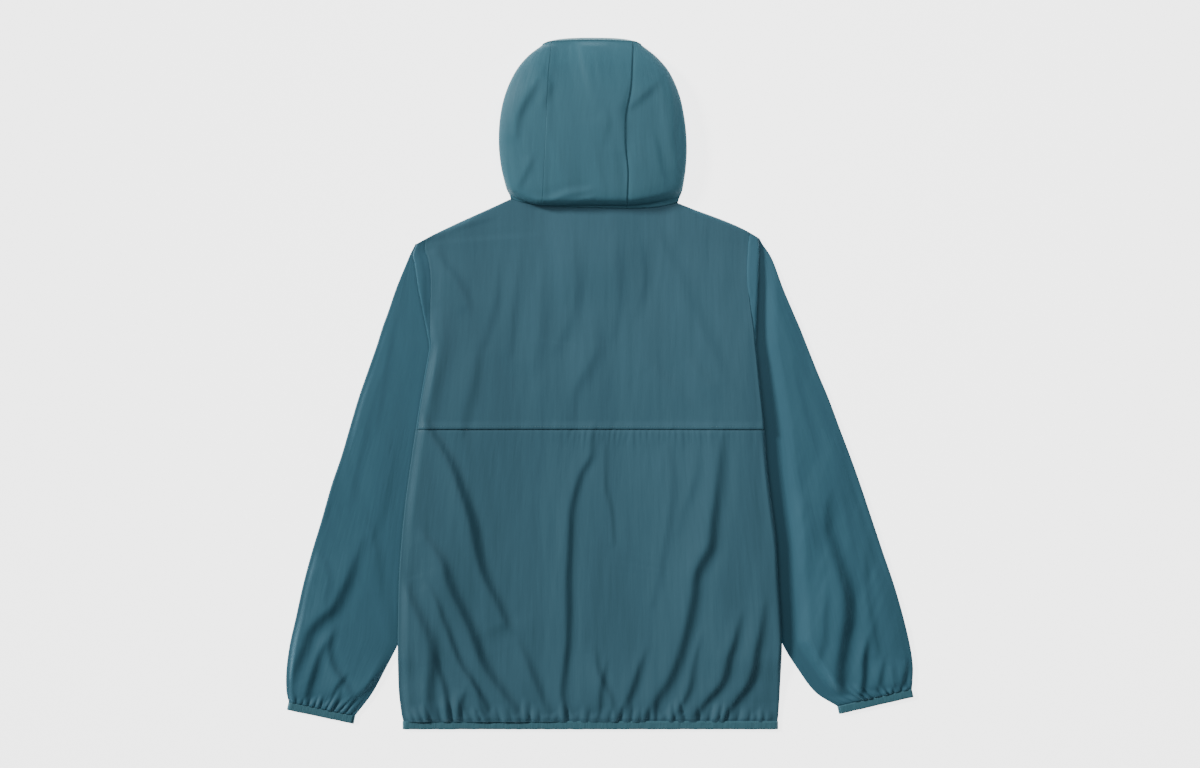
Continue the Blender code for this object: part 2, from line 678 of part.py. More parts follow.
def make_hood_side(side, material, collection):
    over, roll, floor_run = 5, 3, 3
    columns = over + roll + floor_run

    def place(c, r):
        v = HOOD_MARKS[int(r)]
        rounded = smooth(v / 0.2)
        seam, out, edge = seam_point(side, v), outline_point(side, v), edge_point(side, v)
        if c <= over:
            angle = math.pi / 2 * c / over
            across = mix(c / over, math.sin(angle), rounded)
            x = mix(seam[0] + side * SEAM / 2, out[0], across)
            y = mix(seam[1], out[1], across ** 1.5)
            z = mix(out[2], seam[2], math.cos(angle))
            if c < over and v < 0.03:
                x, y, z = neck_stand(x, y, z, v)
                z = mix(z, out[2], (c / over) ** 3)
            fold = relief(x, y, HOOD_FOLDS) * smooth(v / 0.3) * math.cos(angle)
            return x, y, z + fold
        k = c - over
        if v < 0.001:
            x, y = neckline(side, k)
            x, y = x - side * SEAM * (1 - NECK_MARKS[int(k)]), y + SEAM
            return x, y, FLOOR + 0.05 + zip_raise(x, y)
        length = math.hypot(edge[0] - out[0], edge[1] - out[1])
        foot_x = out[0] - side * min(14, length / 2)
        foot_y = out[1] - min(4, length / 4) - 8 * smooth((0.1 - v) / 0.1)
        if k <= roll:
            angle = math.pi / 2 * k / roll
            inward = 1 - math.cos(angle)
            x, y = mix(out[0], foot_x, inward), mix(out[1], foot_y, inward)
            low = mix(FLOOR + 0.05, edge[2], 0.4 * smooth((v - 0.8) / 0.2))
            down = mix(1 - (1 - math.sin(angle)) ** 3, math.sin(angle), rounded)
            return x, y, mix(out[2], low, down)
        share = (k - roll) / floor_run
        x, y = mix(foot_x, edge[0], share), mix(foot_y, edge[1], share)
        low = FLOOR + 0.05 + zip_raise(x, y)
        return x, y, mix(low, max(edge[2], low), mix(0.4, 1.0, share))

    mesh = bmesh.new()
    add_grid(mesh, columns, len(HOOD_MARKS) - 1, place)
    bmesh.ops.triangulate(mesh, faces=mesh.faces, quad_method="SHORT_EDGE")
    return finish_panel("hood_side_" + column(side), mesh, material, collection)


# ---- bindings ------------------------------------------------------------------------------
BAND_TURNS = 5                # steps of a band round a folded edge
CUFF_GAP = 0.7                # from a sleeve's end to its binding
HOOD_BAND = {"gap": 0.8, "width": 5.6}


def make_band(name, path, material, collection, closed=False, gap=SEAM, width=BINDING_WIDTH):
    """A folded band along a path of (point, direction across the band) pairs."""
    steps = len(path) - (0 if closed else 1)

    def place(c, r):
        point, across = path[int(round(c)) % len(path)]
        return point + across.normalized() * (gap + width * r)

    mesh = bmesh.new()
    add_grid(mesh, steps, 1, place)
    return finish_panel(name, mesh, material, collection, BAND)


def make_hem_binding(material, collection):
    low, high = BAND / 2, HEM_BACK_Z
    down = Vector((0, -1, 0))
    radius = (high - low) / 2

    def front_run(side):
        start, end = ZIP_X + side * ZIP_HALF, edge_x(side, HEM_Y) - side * radius
        return [(Vector((mix(start, end, k / 5), HEM_Y, low)), down) for k in range(6)]

    def fold(side):
        centre = edge_x(side, HEM_Y) - side * radius
        points = []
        for k in range(1, BAND_TURNS):
            a = math.pi * k / BAND_TURNS
            x, z = centre + side * radius * math.sin(a), low + radius * (1 - math.cos(a))
            points.append((Vector((x, HEM_Y, z)), down))
        return points

    left = edge_x(LEFT, HEM_Y) + radius
    right = edge_x(RIGHT, HEM_Y) - radius
    back = [(Vector((mix(left, right, k / 16), HEM_Y, high)), down) for k in range(17)]
    path = front_run(LEFT) + fold(LEFT) + back + fold(RIGHT)[::-1] + front_run(RIGHT)[::-1]
    return make_band("hem_binding", path, material, collection)


def make_cuff_binding(side, material, collection):
    name = column(side)
    inner = Vector((SLEEVE.at(name + "_in", 1.0), SLEEVE.at(name + "_in_y", 1.0), 0))
    outer = Vector((SLEEVE.at(name + "_out", 1.0), SLEEVE.at(name + "_out_y", 1.0), 0))
    run = (outer - inner).normalized()
    across = Vector((run.y, -run.x, 0)) * side
    low, high = BAND / 2, HEM_BACK_Z
    radius = (high - low) / 2
    start, end = inner + run * radius, outer - run * radius
    lift_low, lift_high = Vector((0, 0, low)), Vector((0, 0, high))

    def fold(edge, way):
        """Round an edge of the flat cuff: down over the outer one (+1), up over the inner (-1)."""
        points = []
        for k in range(1, BAND_TURNS):
            a = math.pi * k / BAND_TURNS
            height = Vector((0, 0, low + radius * (1 + way * math.cos(a))))
            points.append((edge + run * (way * radius * math.sin(a)) + height, across))
        return points

    path = [(start.lerp(end, k / 8) + lift_high, across) for k in range(9)] + fold(end, 1)
    path += [(end.lerp(start, k / 4) + lift_low, across) for k in range(5)] + fold(start, -1)
    return make_band("cuff_binding_" + name, path, material, collection, closed=True, gap=CUFF_GAP)


def make_hood_binding(material, collection):
    """Round the face opening, from the chin over the forehead and back to the chin."""

    def side_run(side):
        points = []
        inward = Vector((-side, 0, 0))
        for v in HOOD_MARKS[CHIN_ROW:-1]:
            x, y, z = edge_point(side, v)
            points.append((Vector((x, y + 3 * (v == HOOD_MARKS[CHIN_ROW]), max(z, BAND / 2))), inward))
        x, y, z = edge_point(side, 1.0)
        points.append((Vector((x - side * 5, y - 1.5, z)), Vector((-side, 0.3, 0))))
        return points

    left, right = seam_point(LEFT, 1.0), seam_point(RIGHT, 1.0)
    top = []
    for k in range(7):
        u = mix(0.08, 0.92, k / 6)
        y = mix(left[1], right[1], u) + 4 * u * (1 - u) * HOOD_TOP_BOW
        outwards = mix(0.62, 0.55, (2 * u - 1) ** 4)
        top.append((Vector((mix(left[0], right[0], u), y, left[2])), Vector((0, outwards, -0.78))))
    path = side_run(LEFT) + top + side_run(RIGHT)[::-1]
    return make_band("hood_edge_binding", path, material, collection, **HOOD_BAND)


# ---- zip -----------------------------------------------------------------------------------
ZIP_FOOT_Y = HEM_Y - BINDING_WIDTH
TAPE_TOP_Y = CHIN_Y + 1
CHAIN_TOP_Y = 200.0
SLIDER = {"y": 206.0, "width": 8.0, "length": 10.0, "low": 2.4, "high": 6.4}
PIVOT_Z = 1.65                # height of the pull tab's pivot
PIVOT_RADIUS = 0.42
BRIDGE, BRIDGE_Z = (1.2, 8.0, 2.2), 1.5     # width, length and height of each block
WINDOW = (2.4, 5.6, 1.5)      # the hole in the bridge that the pivot bar goes through
PULL = (5.2, 23.0, 0.8)
EYE, EYE_Y = (2.4, 6.2, 1.6), -3.5
EDGE_ROUNDING = 0.3


def zip_strip(name, inner, outer, thickness, height, top, material, collection):
    rows = 16

    def place(c, r):
        y = mix(top, ZIP_FOOT_Y, (1 - r / rows) ** 1.6)
        x = ZIP_X + mix(inner(y), outer, c)
        return x, y, height + zip_raise(ZIP_X, y)

    mesh = bmesh.new()
    add_grid(mesh, 1, rows, place)
    return finish_panel(name, mesh, material, collection, thickness)


def make_zip(tape, metal, collection):
    def tape_edge(y):
        return 2.3 + 2.1 * smooth((y - 180) / 8)

    for side in (LEFT, RIGHT):
        zip_strip("zip_tape_" + column(side), lambda y, s=side: s * tape_edge(y), side * (ZIP_HALF - SEAM),
                  WALL, FLOOR, TAPE_TOP_Y, tape, collection)
    zip_strip("zip_chain", lambda y: -2.0, 2.0, 1.6, 0.9, CHAIN_TOP_Y, metal, collection)
    slider = make_box("zip_slider", (0, 0, (SLIDER["low"] + SLIDER["high"]) / 2),
                      (SLIDER["width"], SLIDER["length"], SLIDER["high"] - SLIDER["low"]), 0.9)
    bridge = make_box("bridge", (0, 0, BRIDGE_Z), BRIDGE, EDGE_ROUNDING)
    cut(bridge, make_box("window", (0, 0, PIVOT_Z), WINDOW, 0.0), "DIFFERENCE")
    cut(slider, bridge, "UNION")
    pull = make_box("zip_pull", (0, -PULL[1] / 2, 0), PULL, EDGE_ROUNDING)
    cut(pull, make_box("eye", (0, EYE_Y, 0), EYE, 0.0), "DIFFERENCE")
    cut(pull, make_bar("pivot", PIVOT_RADIUS, PULL[0] - 2 * EDGE_ROUNDING), "UNION")
    for thing, z in ((slider, 0.0), (pull, PIVOT_Z)):
        thing.location = Vector((ZIP_X, SLIDER["y"], z)) * MM
        thing.data.materials.clear()
        thing.data.materials.append(metal)
        collection.objects.link(thing)


def make_box(name, centre, size, rounding):
    mesh = bmesh.new()
    bmesh.ops.create_cube(mesh, size=1.0)
    for v in mesh.verts:
        v.co = Vector([c + s * p for c, s, p in zip(centre, size, v.co)]) * MM
    if rounding:
        bmesh.ops.bevel(mesh, geom=mesh.edges, offset=rounding * MM, segments=2, profile=0.5,
                        affect="EDGES", material=-1)
    data = bpy.data.meshes.new(name)
    mesh.to_mesh(data)
    mesh.free()
    return bpy.data.objects.new(name, data)


def make_bar(name, radius, length):
    """A round bar along X, through the origin."""
    mesh = bmesh.new()
    bmesh.ops.create_cone(mesh, cap_ends=True, segments=16, radius1=radius * MM, radius2=radius * MM,
                          depth=length * MM, matrix=Matrix.Rotation(math.pi / 2, 4, "Y"))
    data = bpy.data.meshes.new(name)
    mesh.to_mesh(data)
    mesh.free()
    return bpy.data.objects.new(name, data)


def cut(thing, tool, operation):
    """Apply one Boolean on two solids and drop the second."""
    scene = bpy.context.scene.collection
    for part in (thing, tool):
        scene.objects.link(part)
    step = thing.modifiers.new("cut", "BOOLEAN")
    step.operation = operation
    step.solver = "EXACT"
    step.object = tool
    done = thing.evaluated_get(bpy.context.evaluated_depsgraph_get())
    data = bpy.data.meshes.new_from_object(done)
    thing.modifiers.clear()
    thing.data = data
    scene.objects.unlink(thing)
    bpy.data.objects.remove(tool, do_unlink=True)


def main():
    clear_scene()
    collection = bpy.data.collections.new("sun protection jacket")
    bpy.context.scene.collection.children.link(collection)
    body = cloth_material("teal body cloth", (0.036, 0.128, 0.164))
    hood = cloth_material("teal hood cloth", (0.056, 0.178, 0.220))
    sleeve = cloth_material("teal sleeve cloth", (0.034, 0.114, 0.150))
    binding = cloth_material("stretch binding", (0.045, 0.160, 0.195), 0.75)
    tape = cloth_material("zip tape", (0.030, 0.100, 0.130), 0.8)
    plastic = cloth_material("zip plastic", (0.030, 0.090, 0.115), 0.35)
    make_yoke(body, collection)
    make_lower_back(body, collection)
    for side in (LEFT, RIGHT):
        make_front(side, body, collection)
        make_sleeve(side, sleeve, collection)
        make_hood_side(side, hood, collection)
        make_cuff_binding(side, binding, collection)
    make_hood_centre(hood, collection)
    make_hem_binding(binding, collection)
    make_hood_binding(binding, collection)
    make_zip(tape, plastic, collection)


main()
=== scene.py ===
"""The looks of a hooded sun protection jacket that lies flat on its front, back up.

Thin cloth shells follow the solids of the frame, with creases, gathers, seams, zip teeth and
stitches, and procedural finishes. Tables and lengths are millimetres, +Y runs to the hood.
"""
import math

import bmesh
import bpy
import numpy as np
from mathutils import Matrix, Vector


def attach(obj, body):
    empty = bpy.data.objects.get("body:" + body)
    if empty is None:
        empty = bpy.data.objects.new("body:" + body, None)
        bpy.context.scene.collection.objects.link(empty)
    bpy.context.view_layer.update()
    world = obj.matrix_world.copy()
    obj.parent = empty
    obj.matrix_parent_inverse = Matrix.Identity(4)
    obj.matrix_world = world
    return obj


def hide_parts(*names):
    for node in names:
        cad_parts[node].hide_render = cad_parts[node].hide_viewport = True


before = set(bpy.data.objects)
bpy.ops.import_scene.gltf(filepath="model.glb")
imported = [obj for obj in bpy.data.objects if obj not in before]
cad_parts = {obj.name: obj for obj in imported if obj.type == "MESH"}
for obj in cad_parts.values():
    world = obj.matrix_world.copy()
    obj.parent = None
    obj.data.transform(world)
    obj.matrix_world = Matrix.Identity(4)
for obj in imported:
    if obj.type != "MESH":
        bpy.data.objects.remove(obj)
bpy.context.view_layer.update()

bl_info = {
    "name": "Sun Jacket",
    "version": (1, 0, 0),
    "blender": (4, 5, 0),
    "location": "View3D > Sidebar > Jacket",
    "description": "Dresses the laid-out sun protection jacket with cloth, seams and a zip",
    "category": "Object",
}

MM = 0.001                    # metres in a millimetre

# ---- sizes shared with the solids, millimetres ----------------------------------------------
WALL = 1.2                    # cloth of the solids
BAND = 2.4                    # and their folded bindings
SEAM = 0.3                    # gap between two pieces at a seam
FLOOR = WALL / 2              # middle of the cloth that lies on the surface
LAYER = 2.4                   # from one lying layer to the next
BODY_GAP = 4.2                # from the fronts to the back, with nothing tucked between
BACK_OVER_SLEEVE = 9.0        # the same over a tucked sleeve
RAMP = 30.0                   # width over which the fronts rise on to a tucked sleeve
BACK_RAMP_LEFT = 90.0         # and over which the back does
BACK_RAMP_RIGHT = 150.0
BACK_HUMP = 4.0               # how far the upper back stands up in its middle
ZIP_X = -11.5
ZIP_HALF = 9.0                # half the gap between the fronts, which the zip fills
ZIP_ARCH = 4.0                # how far the zip stands up below the chin
HEM_Y = -455.4
HEM_BACK_Z = 3.9              # height of the back at the hem
YOKE_SEAM_Y = -60.5
BINDING_WIDTH = 10.0
CHIN_Y = 212.0
NECK_DEPTH_Y = 153.5          # lowest point of the front neckline
SIDE_SEAM = 6.0               # from the side fold to the side seam, along the cloth
EDGE_INSET = 3.0              # how far in from a side fold the layers' heights are read
NECK_STAND = 3.5              # how far the hood stands up behind the yoke's neck edge
OUTER_ROLL = 4.4              # height of a sleeve's rolled outer edge
HOOD_ARCH = 3.5
HOOD_TOP_BOW = 1.6

LEFT, RIGHT = SIDES = (-1, 1)
TIP_Y = {LEFT: 189.0, RIGHT: 197.0}  # shoulder tips
TIP_X = {LEFT: -247.0, RIGHT: 213.5}
NECK = {LEFT: (-120.0, 249.8), RIGHT: (104.5, 244.3)}  # where shoulder and neck seam meet
SHOULDER_BOW = {LEFT: 12.0, RIGHT: 24.0}
SHOULDER_ROLL = 7.0           # width over which the back turns down to a shoulder seam
NECK_DIP = 9.0
ARMHOLE_DEPTH = {LEFT: 2.6, RIGHT: 0.4}


def smooth(value):
    value = np.clip(value, 0.0, 1.0)
    return value * value * (3 - 2 * value)


def fade(value, start, end):
    """0 up to start, 1 from end on, and smooth between them; end may lie below start."""
    return smooth((value - start) / (end - start))


def mix(a, b, share):
    return a + (b - a) * share


def curve(t, start, leave, end, arrive):
    """A smooth way from start to end that leaves and arrives with the given slopes."""
    return ((2 * t ** 3 - 3 * t ** 2 + 1) * start + (t ** 3 - 2 * t ** 2 + t) * leave
            + (3 * t ** 2 - 2 * t ** 3) * end + (t ** 3 - t ** 2) * arrive)


class Table:
    """A short table with named columns, read along its first column on a smooth curve."""

    def __init__(self, columns, *rows):
        rows = np.array(sorted(rows), float)
        self.keys = rows[:, 0]
        self.values = dict(zip(columns.split(), rows.T))

    def at(self, column, key):
        keys, values = self.keys, self.values[column]
        last = len(keys) - 1
        key = np.clip(key, keys[0], keys[-1])
        i = np.clip(np.searchsorted(keys, key, side="right") - 1, 0, last - 1)
        row = np.arange(last + 1)
        before, after = np.maximum(row - 1, 0), np.minimum(row + 1, last)
        slope = (values[after] - values[before]) / (keys[after] - keys[before])
        step = keys[i + 1] - keys[i]
        t = (key - keys[i]) / step
        return curve(t, values[i], step * slope[i], values[i + 1], step * slope[i + 1])


# the body's folded side edges, as seen from above
SIDE_EDGE = Table(
    "y left right",
    (198, -243, 212.5), (189, -247, 214), (176, -252, 214.5), (164, -250, 214), (130, -245, 213),
    (97, -238.5, 211.5), (68, -233, 210.5), (52, -230, 210), (36, -232, 211.5), (5, -237.5, 214.5),
    (-50, -246.5, 220.5), (-103, -254.5, 224.5), (-157, -262, 230.5), (-211, -267.5, 237.5),
    (-265, -271, 240.5), (-312, -272, 243.5), (-352, -272.5, 245), (-413, -271.5, 242.5),
    (-446, -267.5, 240.5), (-454, -265.5, 239.5))

# how far the back armhole seam lies in from the side fold, along the cloth
ARMHOLE = Table(
    "y left right",
    (197, -9, -12), (176, -17, -15), (150, -20, -16), (130, -18, -15), (97, -11, -10),
    (68, -5.5, -5.5), (40, -3, -3), (-60, -3, -3))

# how much the filled-out back stands above its solid along each side edge
EDGE_RISE = Table(
    "y left right",
    (190, 0, 0), (120, 0.5, 2.5), (40, 1, 5.5), (-100, 1.5, 7.5), (-300, 1.5, 6.5), (-380, 1, 4),
    (-430, 0, 0))

# the inner edge of the sleeve that is tucked beneath the body
TUCK = Table(
    "y left right",
    (197, -236, 201), (150, -222, 196), (97, -206, 188), (40, -191, 176), (-60.5, -176, 160),
    (-92, -179, 163), (-130, -187, 170), (-180, -200, 182), (-225, -216, 197), (-268, -234, 213),
    (-312, -255, 231), (-352, -273, 247), (-400, -296, 281))

# each sleeve from underarm to cuff: its inner and outer edge
SLEEVE = Table(
    "t left_in left_in_y left_out left_out_y right_in right_in_y right_out right_out_y",
    (0.00, -176, -60.5, -338, -60.5, 160, -60.5, 323.5, -60.5),
    (0.10, -179, -94, -349, -98, 163, -94, 338.5, -100),
    (0.22, -187, -130, -362, -136, 170, -130, 352, -138),
    (0.34, -200, -180, -376, -185, 182, -180, 368, -186),
    (0.45, -216, -225, -389, -228, 197, -225, 382, -228),
    (0.56, -234, -268, -400.5, -271, 213, -268, 396, -269),
    (0.67, -255, -312, -410, -314, 231, -312, 408.5, -312),
    (0.77, -273, -352, -418.5, -352, 247, -352, 418, -352),
    (0.86, -289, -383, -423, -386, 266, -383, 422, -380),
    (0.94, -308, -418, -423, -414, 291, -416, 421.5, -401),
    (1.00, -331, -448, -419.5, -429.5, 321, -435, 420.5, -412))

# the outer edge of each sleeve from shoulder tip to underarm
SLEEVE_TOP = Table(
    "y left right",
    (198, -246, 214), (189, -249, 219), (176, -255.5, 228), (163, -261, 234.5), (130, -274.5, 246.5),
    (98, -285.5, 260), (76, -293.5, 269.5), (52, -301, 279), (12, -315, 295), (-20, -326, 308.5),
    (-60.5, -338, 323.5))

# the hood in rows from neck (0) to forehead (1): side seams, outline and face opening
HOOD = Table(
    "row seam_y crown left_seam right_seam outline_y outline_z left right edge_y edge_z "
    "left_edge right_edge",
    (0.00, 247, 4.8, -79, 36, 250, 2.4, -120, 104.5, 153.5, 0.6, -20.5, -2.5),
    (0.05, 240.5, 12.5, -79, 36, 255.5, 6.3, -122, 106.5, 170, 0.6, -20.5, -2.5),
    (0.10, 243.5, 21, -79, 36, 260, 9, -124.5, 109, 190, 0.6, -20.5, -2.5),
    (0.17, 251.5, 27.5, -78, 36.5, 267, 12.5, -127, 111.5, 212, 0.6, -20.5, -2.5),
    (0.30, 284, 30.5, -76, 37.5, 293, 16.5, -133, 115.5, 252, 0.6, -42, 19),
    (0.45, 322, 32.5, -74, 34, 325, 17.5, -136, 116.5, 300, 0.6, -58, 35),
    (0.60, 360, 33.5, -72.5, 34.5, 360, 17.5, -134, 113, 350, 0.6, -66, 43),
    (0.74, 395, 32.5, -71, 41, 392, 16.5, -126.5, 105.5, 392, 0.6, -69, 46),
    (0.86, 427, 27, -69, 43, 421, 15, -113, 92, 423, 1.2, -70, 47),
    (0.94, 449.5, 18.5, -67, 44, 441, 12, -97, 75, 443, 3.5, -70, 48),
    (1.00, 461, 11.5, -65.5, 44.5, 457, 8.5, -77, 55, 453.5, 5.5, -68, 47))

# ---- creases --------------------------------------------------------------------------------
# (height of the ridge, width of the dark slope, points of the dark line from top to bottom)
BACK_CREASES = (
    (6, 13, (-240, -38), (-221, -68), (-202, -98), (-192, -120), (-184, -142), (-176, -165),
     (-169, -189), (-165, -211), (-160, -235), (-152, -261), (-138, -289), (-126, -316)),
    (6.8, 14, (-229, -208), (-218, -224), (-207, -243), (-202, -262), (-195, -281), (-184, -303),
     (-173, -326), (-164, -350), (-155, -374), (-141, -397), (-124, -420), (-106, -443)),
    (4, 9, (-226, -276), (-218, -292), (-210, -314), (-202, -335), (-194, -357), (-184, -380),
     (-169, -403), (-155, -424), (-145, -449)),
    (6.6, 16, (-259, -268), (-250, -289), (-240, -311), (-229, -332), (-223, -354), (-223, -381),
     (-226, -411), (-227, -449)),
    (4, 9, (-219, -373), (-213, -392), (-207, -413), (-202, -449)),
    (4.4, 11, (-7, -68), (-10, -98), (-22, -119), (-30, -142), (-36, -168), (-38, -197), (-40, -251),
     (-40, -308), (-41, -349), (-45, -381), (-48, -413), (-48, -446)),
    (1.3, 7, (9, -68), (9, -103), (10, -141), (17, -173), (20, -211)),
    (6.2, 16, (168, -76), (161, -143), (156, -184), (152, -219), (141, -241), (133, -260), (130, -284),
     (126, -308), (121, -332), (114, -357), (107, -378), (97, -400), (82, -423), (65, -447)),
    (4.8, 12, (190, -319), (183, -349), (176, -370), (172, -389), (165, -407), (151, -423), (133, -444)),
    (4.8, 12, (222, -305), (218, -338), (213, -362), (210, -384), (203, -405), (190, -423), (173, -446)),
    (3.6, 11, (61, -366), (55, -384), (49, -403), (41, -424), (29, -449)),
    (3.6, 12, (-105, -351), (-97, -368), (-90, -386), (-82, -405), (-74, -426), (-64, -447)),
    (1.3, 11, (91, -76), (101, -122), (98, -170), (86, -238), (75, -292)),
    (1, 12, (136, -92), (132, -127), (117, -168), (109, -197)),
    (2.4, 9, (-5, -359), (1, -389), (17, -422), (22, -446)),
    (2.4, 8, (9, -380), (3, -413), (1, -449)),
    (1.9, 8, (-175, -384), (-164, -413), (-153, -449)),
    (2.4, 8, (-180, -413), (-186, -432), (-190, -451)),
    (2.6, 9, (136, -346), (128, -380), (122, -413), (103, -449)),
    (2.1, 20, (-75, 199), (-70, 127), (-72, 73), (-80, 32)),
    (1.7, 18, (-30, 178), (-24, 133), (-34, 86), (-51, 52)),
    (2.2, 19, (86, 199), (111, 154), (130, 106), (152, 59), (173, 16)),
    (1.2, 12, (57, 194), (63, 145), (55, 100)),
    (1.1, 12, (25, 189), (29, 127), (24, 73)),
    (2.4, 12, (-221, 186), (-207, 164), (-188, 140), (-175, 113)),
    (3.6, 24, (-207, 105), (-202, 70), (-205, 35), (-215, -3), (-226, -41)),
    (1.7, 16, (-2, 78), (1, 46), (-13, 16), (-29, -11), (-37, -54)),
    (1.2, 13, (75, 27), (92, 8), (117, -17)),
    (1.2, 13, (124, 39), (138, 19), (157, -6)),
    (0.8, 8, (-145, 222), (-175, 214), (-207, 205)),
    (0.6, 7, (-233, 189), (-161, 197), (-86, 202)),
    (2.2, 14, (-161, 43), (-167, 0), (-175, -35), (-180, -57)),
    (1.6, 11, (-134, 167), (-137, 113), (-151, 59)),
    (1.6, 11, (-107, 164), (-113, 100), (-118, 46)))
SLEEVE_CREASES = (
    (5.4, 16, (-321, -222), (-334, -260), (-345, -284), (-356, -305), (-373, -320), (-387, -336),
     (-395, -357), (-404, -377), (-414, -400), (-419, -419)),
    (4.6, 12, (-364, -346), (-375, -365), (-383, -389), (-391, -413), (-396, -432)),
    (3.6, 10, (-358, -335), (-362, -357), (-358, -378), (-346, -397), (-334, -416)),
    (3.2, 9, (-280, -376), (-299, -397), (-318, -416), (-337, -430)),
    (2.8, 8, (-342, -395), (-354, -411), (-362, -432)),
    (1.6, 11, (-380, -228), (-369, -238), (-361, -265), (-367, -287)),
    (1.8, 12, (-302, -208), (-296, -233), (-291, -273)),
    (8, 19, (310, -168), (310, -195), (317, -218), (323, -238), (330, -257), (335, -276), (338, -297),
     (338, -319), (334, -338), (331, -359), (327, -381), (325, -405), (322, -430)),
    (4, 9, (361, -346), (358, -373), (357, -397), (354, -419)),
    (3.2, 9, (418, -373), (412, -397), (406, -419)),
    (1.9, 11, (360, -238), (364, -292), (371, -335), (376, -359)),
    (2.2, 11, (307, -278), (306, -316), (303, -346), (295, -373)),
    (3.2, 11, (265, -357), (279, -373), (287, -397), (295, -416)),
    (2.4, 8, (384, -373), (379, -400), (373, -424)),
    (2, 8, (396, -378), (399, -403), (395, -422)),
    (1.3, 12, (-267, -76), (-286, -157), (-304, -211)),
    (1.2, 12, (-296, 5), (-315, -76), (-334, -157)),
    (1.2, 11, (-275, 86), (-288, 5), (-299, -62)),
    (1.3, 14, (271, -116), (287, -184), (303, -238)),
    (1.1, 12, (263, 32), (279, -35), (295, -89)),
    (1.1, 12, (325, -130), (338, -184), (346, -238)))
HOOD_CREASES = (
    (3.4, 11, (-79, 410), (-87, 394), (-95, 380), (-102, 367), (-107, 353), (-109, 337)),
    (2.4, 11, (41, 402), (37, 383), (34, 367), (36, 345), (36, 316)),
    (2.4, 11, (78, 402), (71, 394), (56, 380), (47, 372)),
    (2.4, 9, (92, 415), (99, 394), (102, 370), (102, 343), (103, 316), (107, 294)),
    (1.1, 11, (9, 367), (14, 351), (9, 329)),
    (1.7, 9, (75, 332), (82, 302), (88, 275)),
    (1.7, 9, (-88, 302), (-95, 286), (-105, 267)),
    (2, 11, (-72, 418), (-64, 399), (-70, 380)),
    (2.2, 9, (-113, 253), (-74, 249), (-45, 259), (-18, 263)),
    (1.8, 8, (-70, 240), (-37, 247), (-13, 253)))


def curve_through(points, spacing=5.0):
    """Points along a smooth curve through the given ones."""
    points = np.array(points, float)
    ahead = np.vstack([points[1:], 2 * points[-1] - points[-2]])
    behind = np.vstack([2 * points[0] - points[1], points[:-1]])
    slope = (ahead - behind) / 2
    last = len(points) - 2
    run = []
    for i in range(last + 1):
        count = max(2, int(np.hypot(*(points[i + 1] - points[i])) / spacing))
        t = np.linspace(0, 1, count, endpoint=i == last)[:, None]
        run.append(curve(t, points[i], slope[i], points[i + 1], slope[i + 1]))
    return np.vstack(run)


# a crease's profile across its line, in shares of its width: the crest left of the line, the
# steep fall to its right, the crown and the long tail to its left, and two shallow hollows
CREST = 0.62
FALL = 0.66
CROWN = 1.15
TAIL = 4.2
TAIL_SHARE = 0.42
HOLLOWS = ((0.24, 0.45, 0.8), (0.16, 1.4, 2.2))  # depth, distance from the line, width
CREASE_REACH = 8              # widths past which a crease has no height
CREASE_START, CREASE_END = 0.06, 0.84  # part of a half wave that its height follows
CREASE_NARROWEST = 0.65       # width at its ends, as a share of the width in its middle


def relief(x, y, folds):
    """Ridges beside the crease lines, gentle on the left of a line and steep on the right."""
    total = np.zeros_like(x)
    for height, width, *points in folds:
        line = curve_through(points)
        low, high = line.min(axis=0) - CREASE_REACH * width, line.max(axis=0) + CREASE_REACH * width
        near = (x > low[0]) & (x < high[0]) & (y > low[1]) & (y < high[1])
        if not near.any():
            continue
        px, py = x[near], y[near]
        away, across, along = np.full(px.shape, 1e9), np.zeros_like(px), np.zeros_like(px)
        count = len(line) - 1
        for i in range(count):
            dx, dy = line[i + 1] - line[i]
            length = math.hypot(dx, dy)
            t = np.clip(((px - line[i, 0]) * dx + (py - line[i, 1]) * dy) / length ** 2, 0, 1)
            ox, oy = px - line[i, 0] - t * dx, py - line[i, 1] - t * dy
            distance = np.hypot(ox, oy)
            closer = distance < away
            away = np.where(closer, distance, away)
            across = np.where(closer, (ox * -dy + oy * dx) / length, across)
            along = np.where(closer, (i + t) / count, along)
        end = np.sin(np.pi * mix(CREASE_START, CREASE_END, along)) ** 0.8
        beyond = np.exp(-np.maximum(away ** 2 - across ** 2, 0) / width ** 2)
        from_line = across / (width * mix(CREASE_NARROWEST, 1.0, end))
        from_crest = from_line + CREST
        crown = np.exp(-np.abs(from_crest / CROWN) ** 1.5)
        gentle = mix(crown, np.exp(-(from_crest / TAIL) ** 2), TAIL_SHARE)
        ridge = np.where(from_crest < 0, gentle, np.exp(-np.abs(from_crest / FALL) ** 2))
        for depth, place, spread in HOLLOWS:
            ridge = ridge - depth * np.exp(-((from_line - place) / spread) ** 2)
        total[near] += height * end * beyond * ridge
    return total


LATTICE = 97                  # random values on a side of the lattice behind a ripple
LATTICE_START = (48.37, 31.91)


def ripple(x, y, size_x, size_y, seed, turn=0.0):
    """Smooth seeded unevenness between -1 and 1, with its own grain size along two directions."""
    lattice = np.random.default_rng(seed).uniform(-1, 1, (LATTICE, LATTICE))
    c, s = math.cos(turn), math.sin(turn)
    fx = (x * c + y * s) / size_x + LATTICE_START[0]
    fy = (y * c - x * s) / size_y + LATTICE_START[1]
    ix, iy = np.floor(fx).astype(int), np.floor(fy).astype(int)
    tx, ty = smooth(fx - ix), smooth(fy - iy)
    ax, ay, bx, by = ix % LATTICE, iy % LATTICE, (ix + 1) % LATTICE, (iy + 1) % LATTICE
    return mix(mix(lattice[ax, ay], lattice[bx, ay], tx), mix(lattice[ax, by], lattice[bx, by], tx), ty)


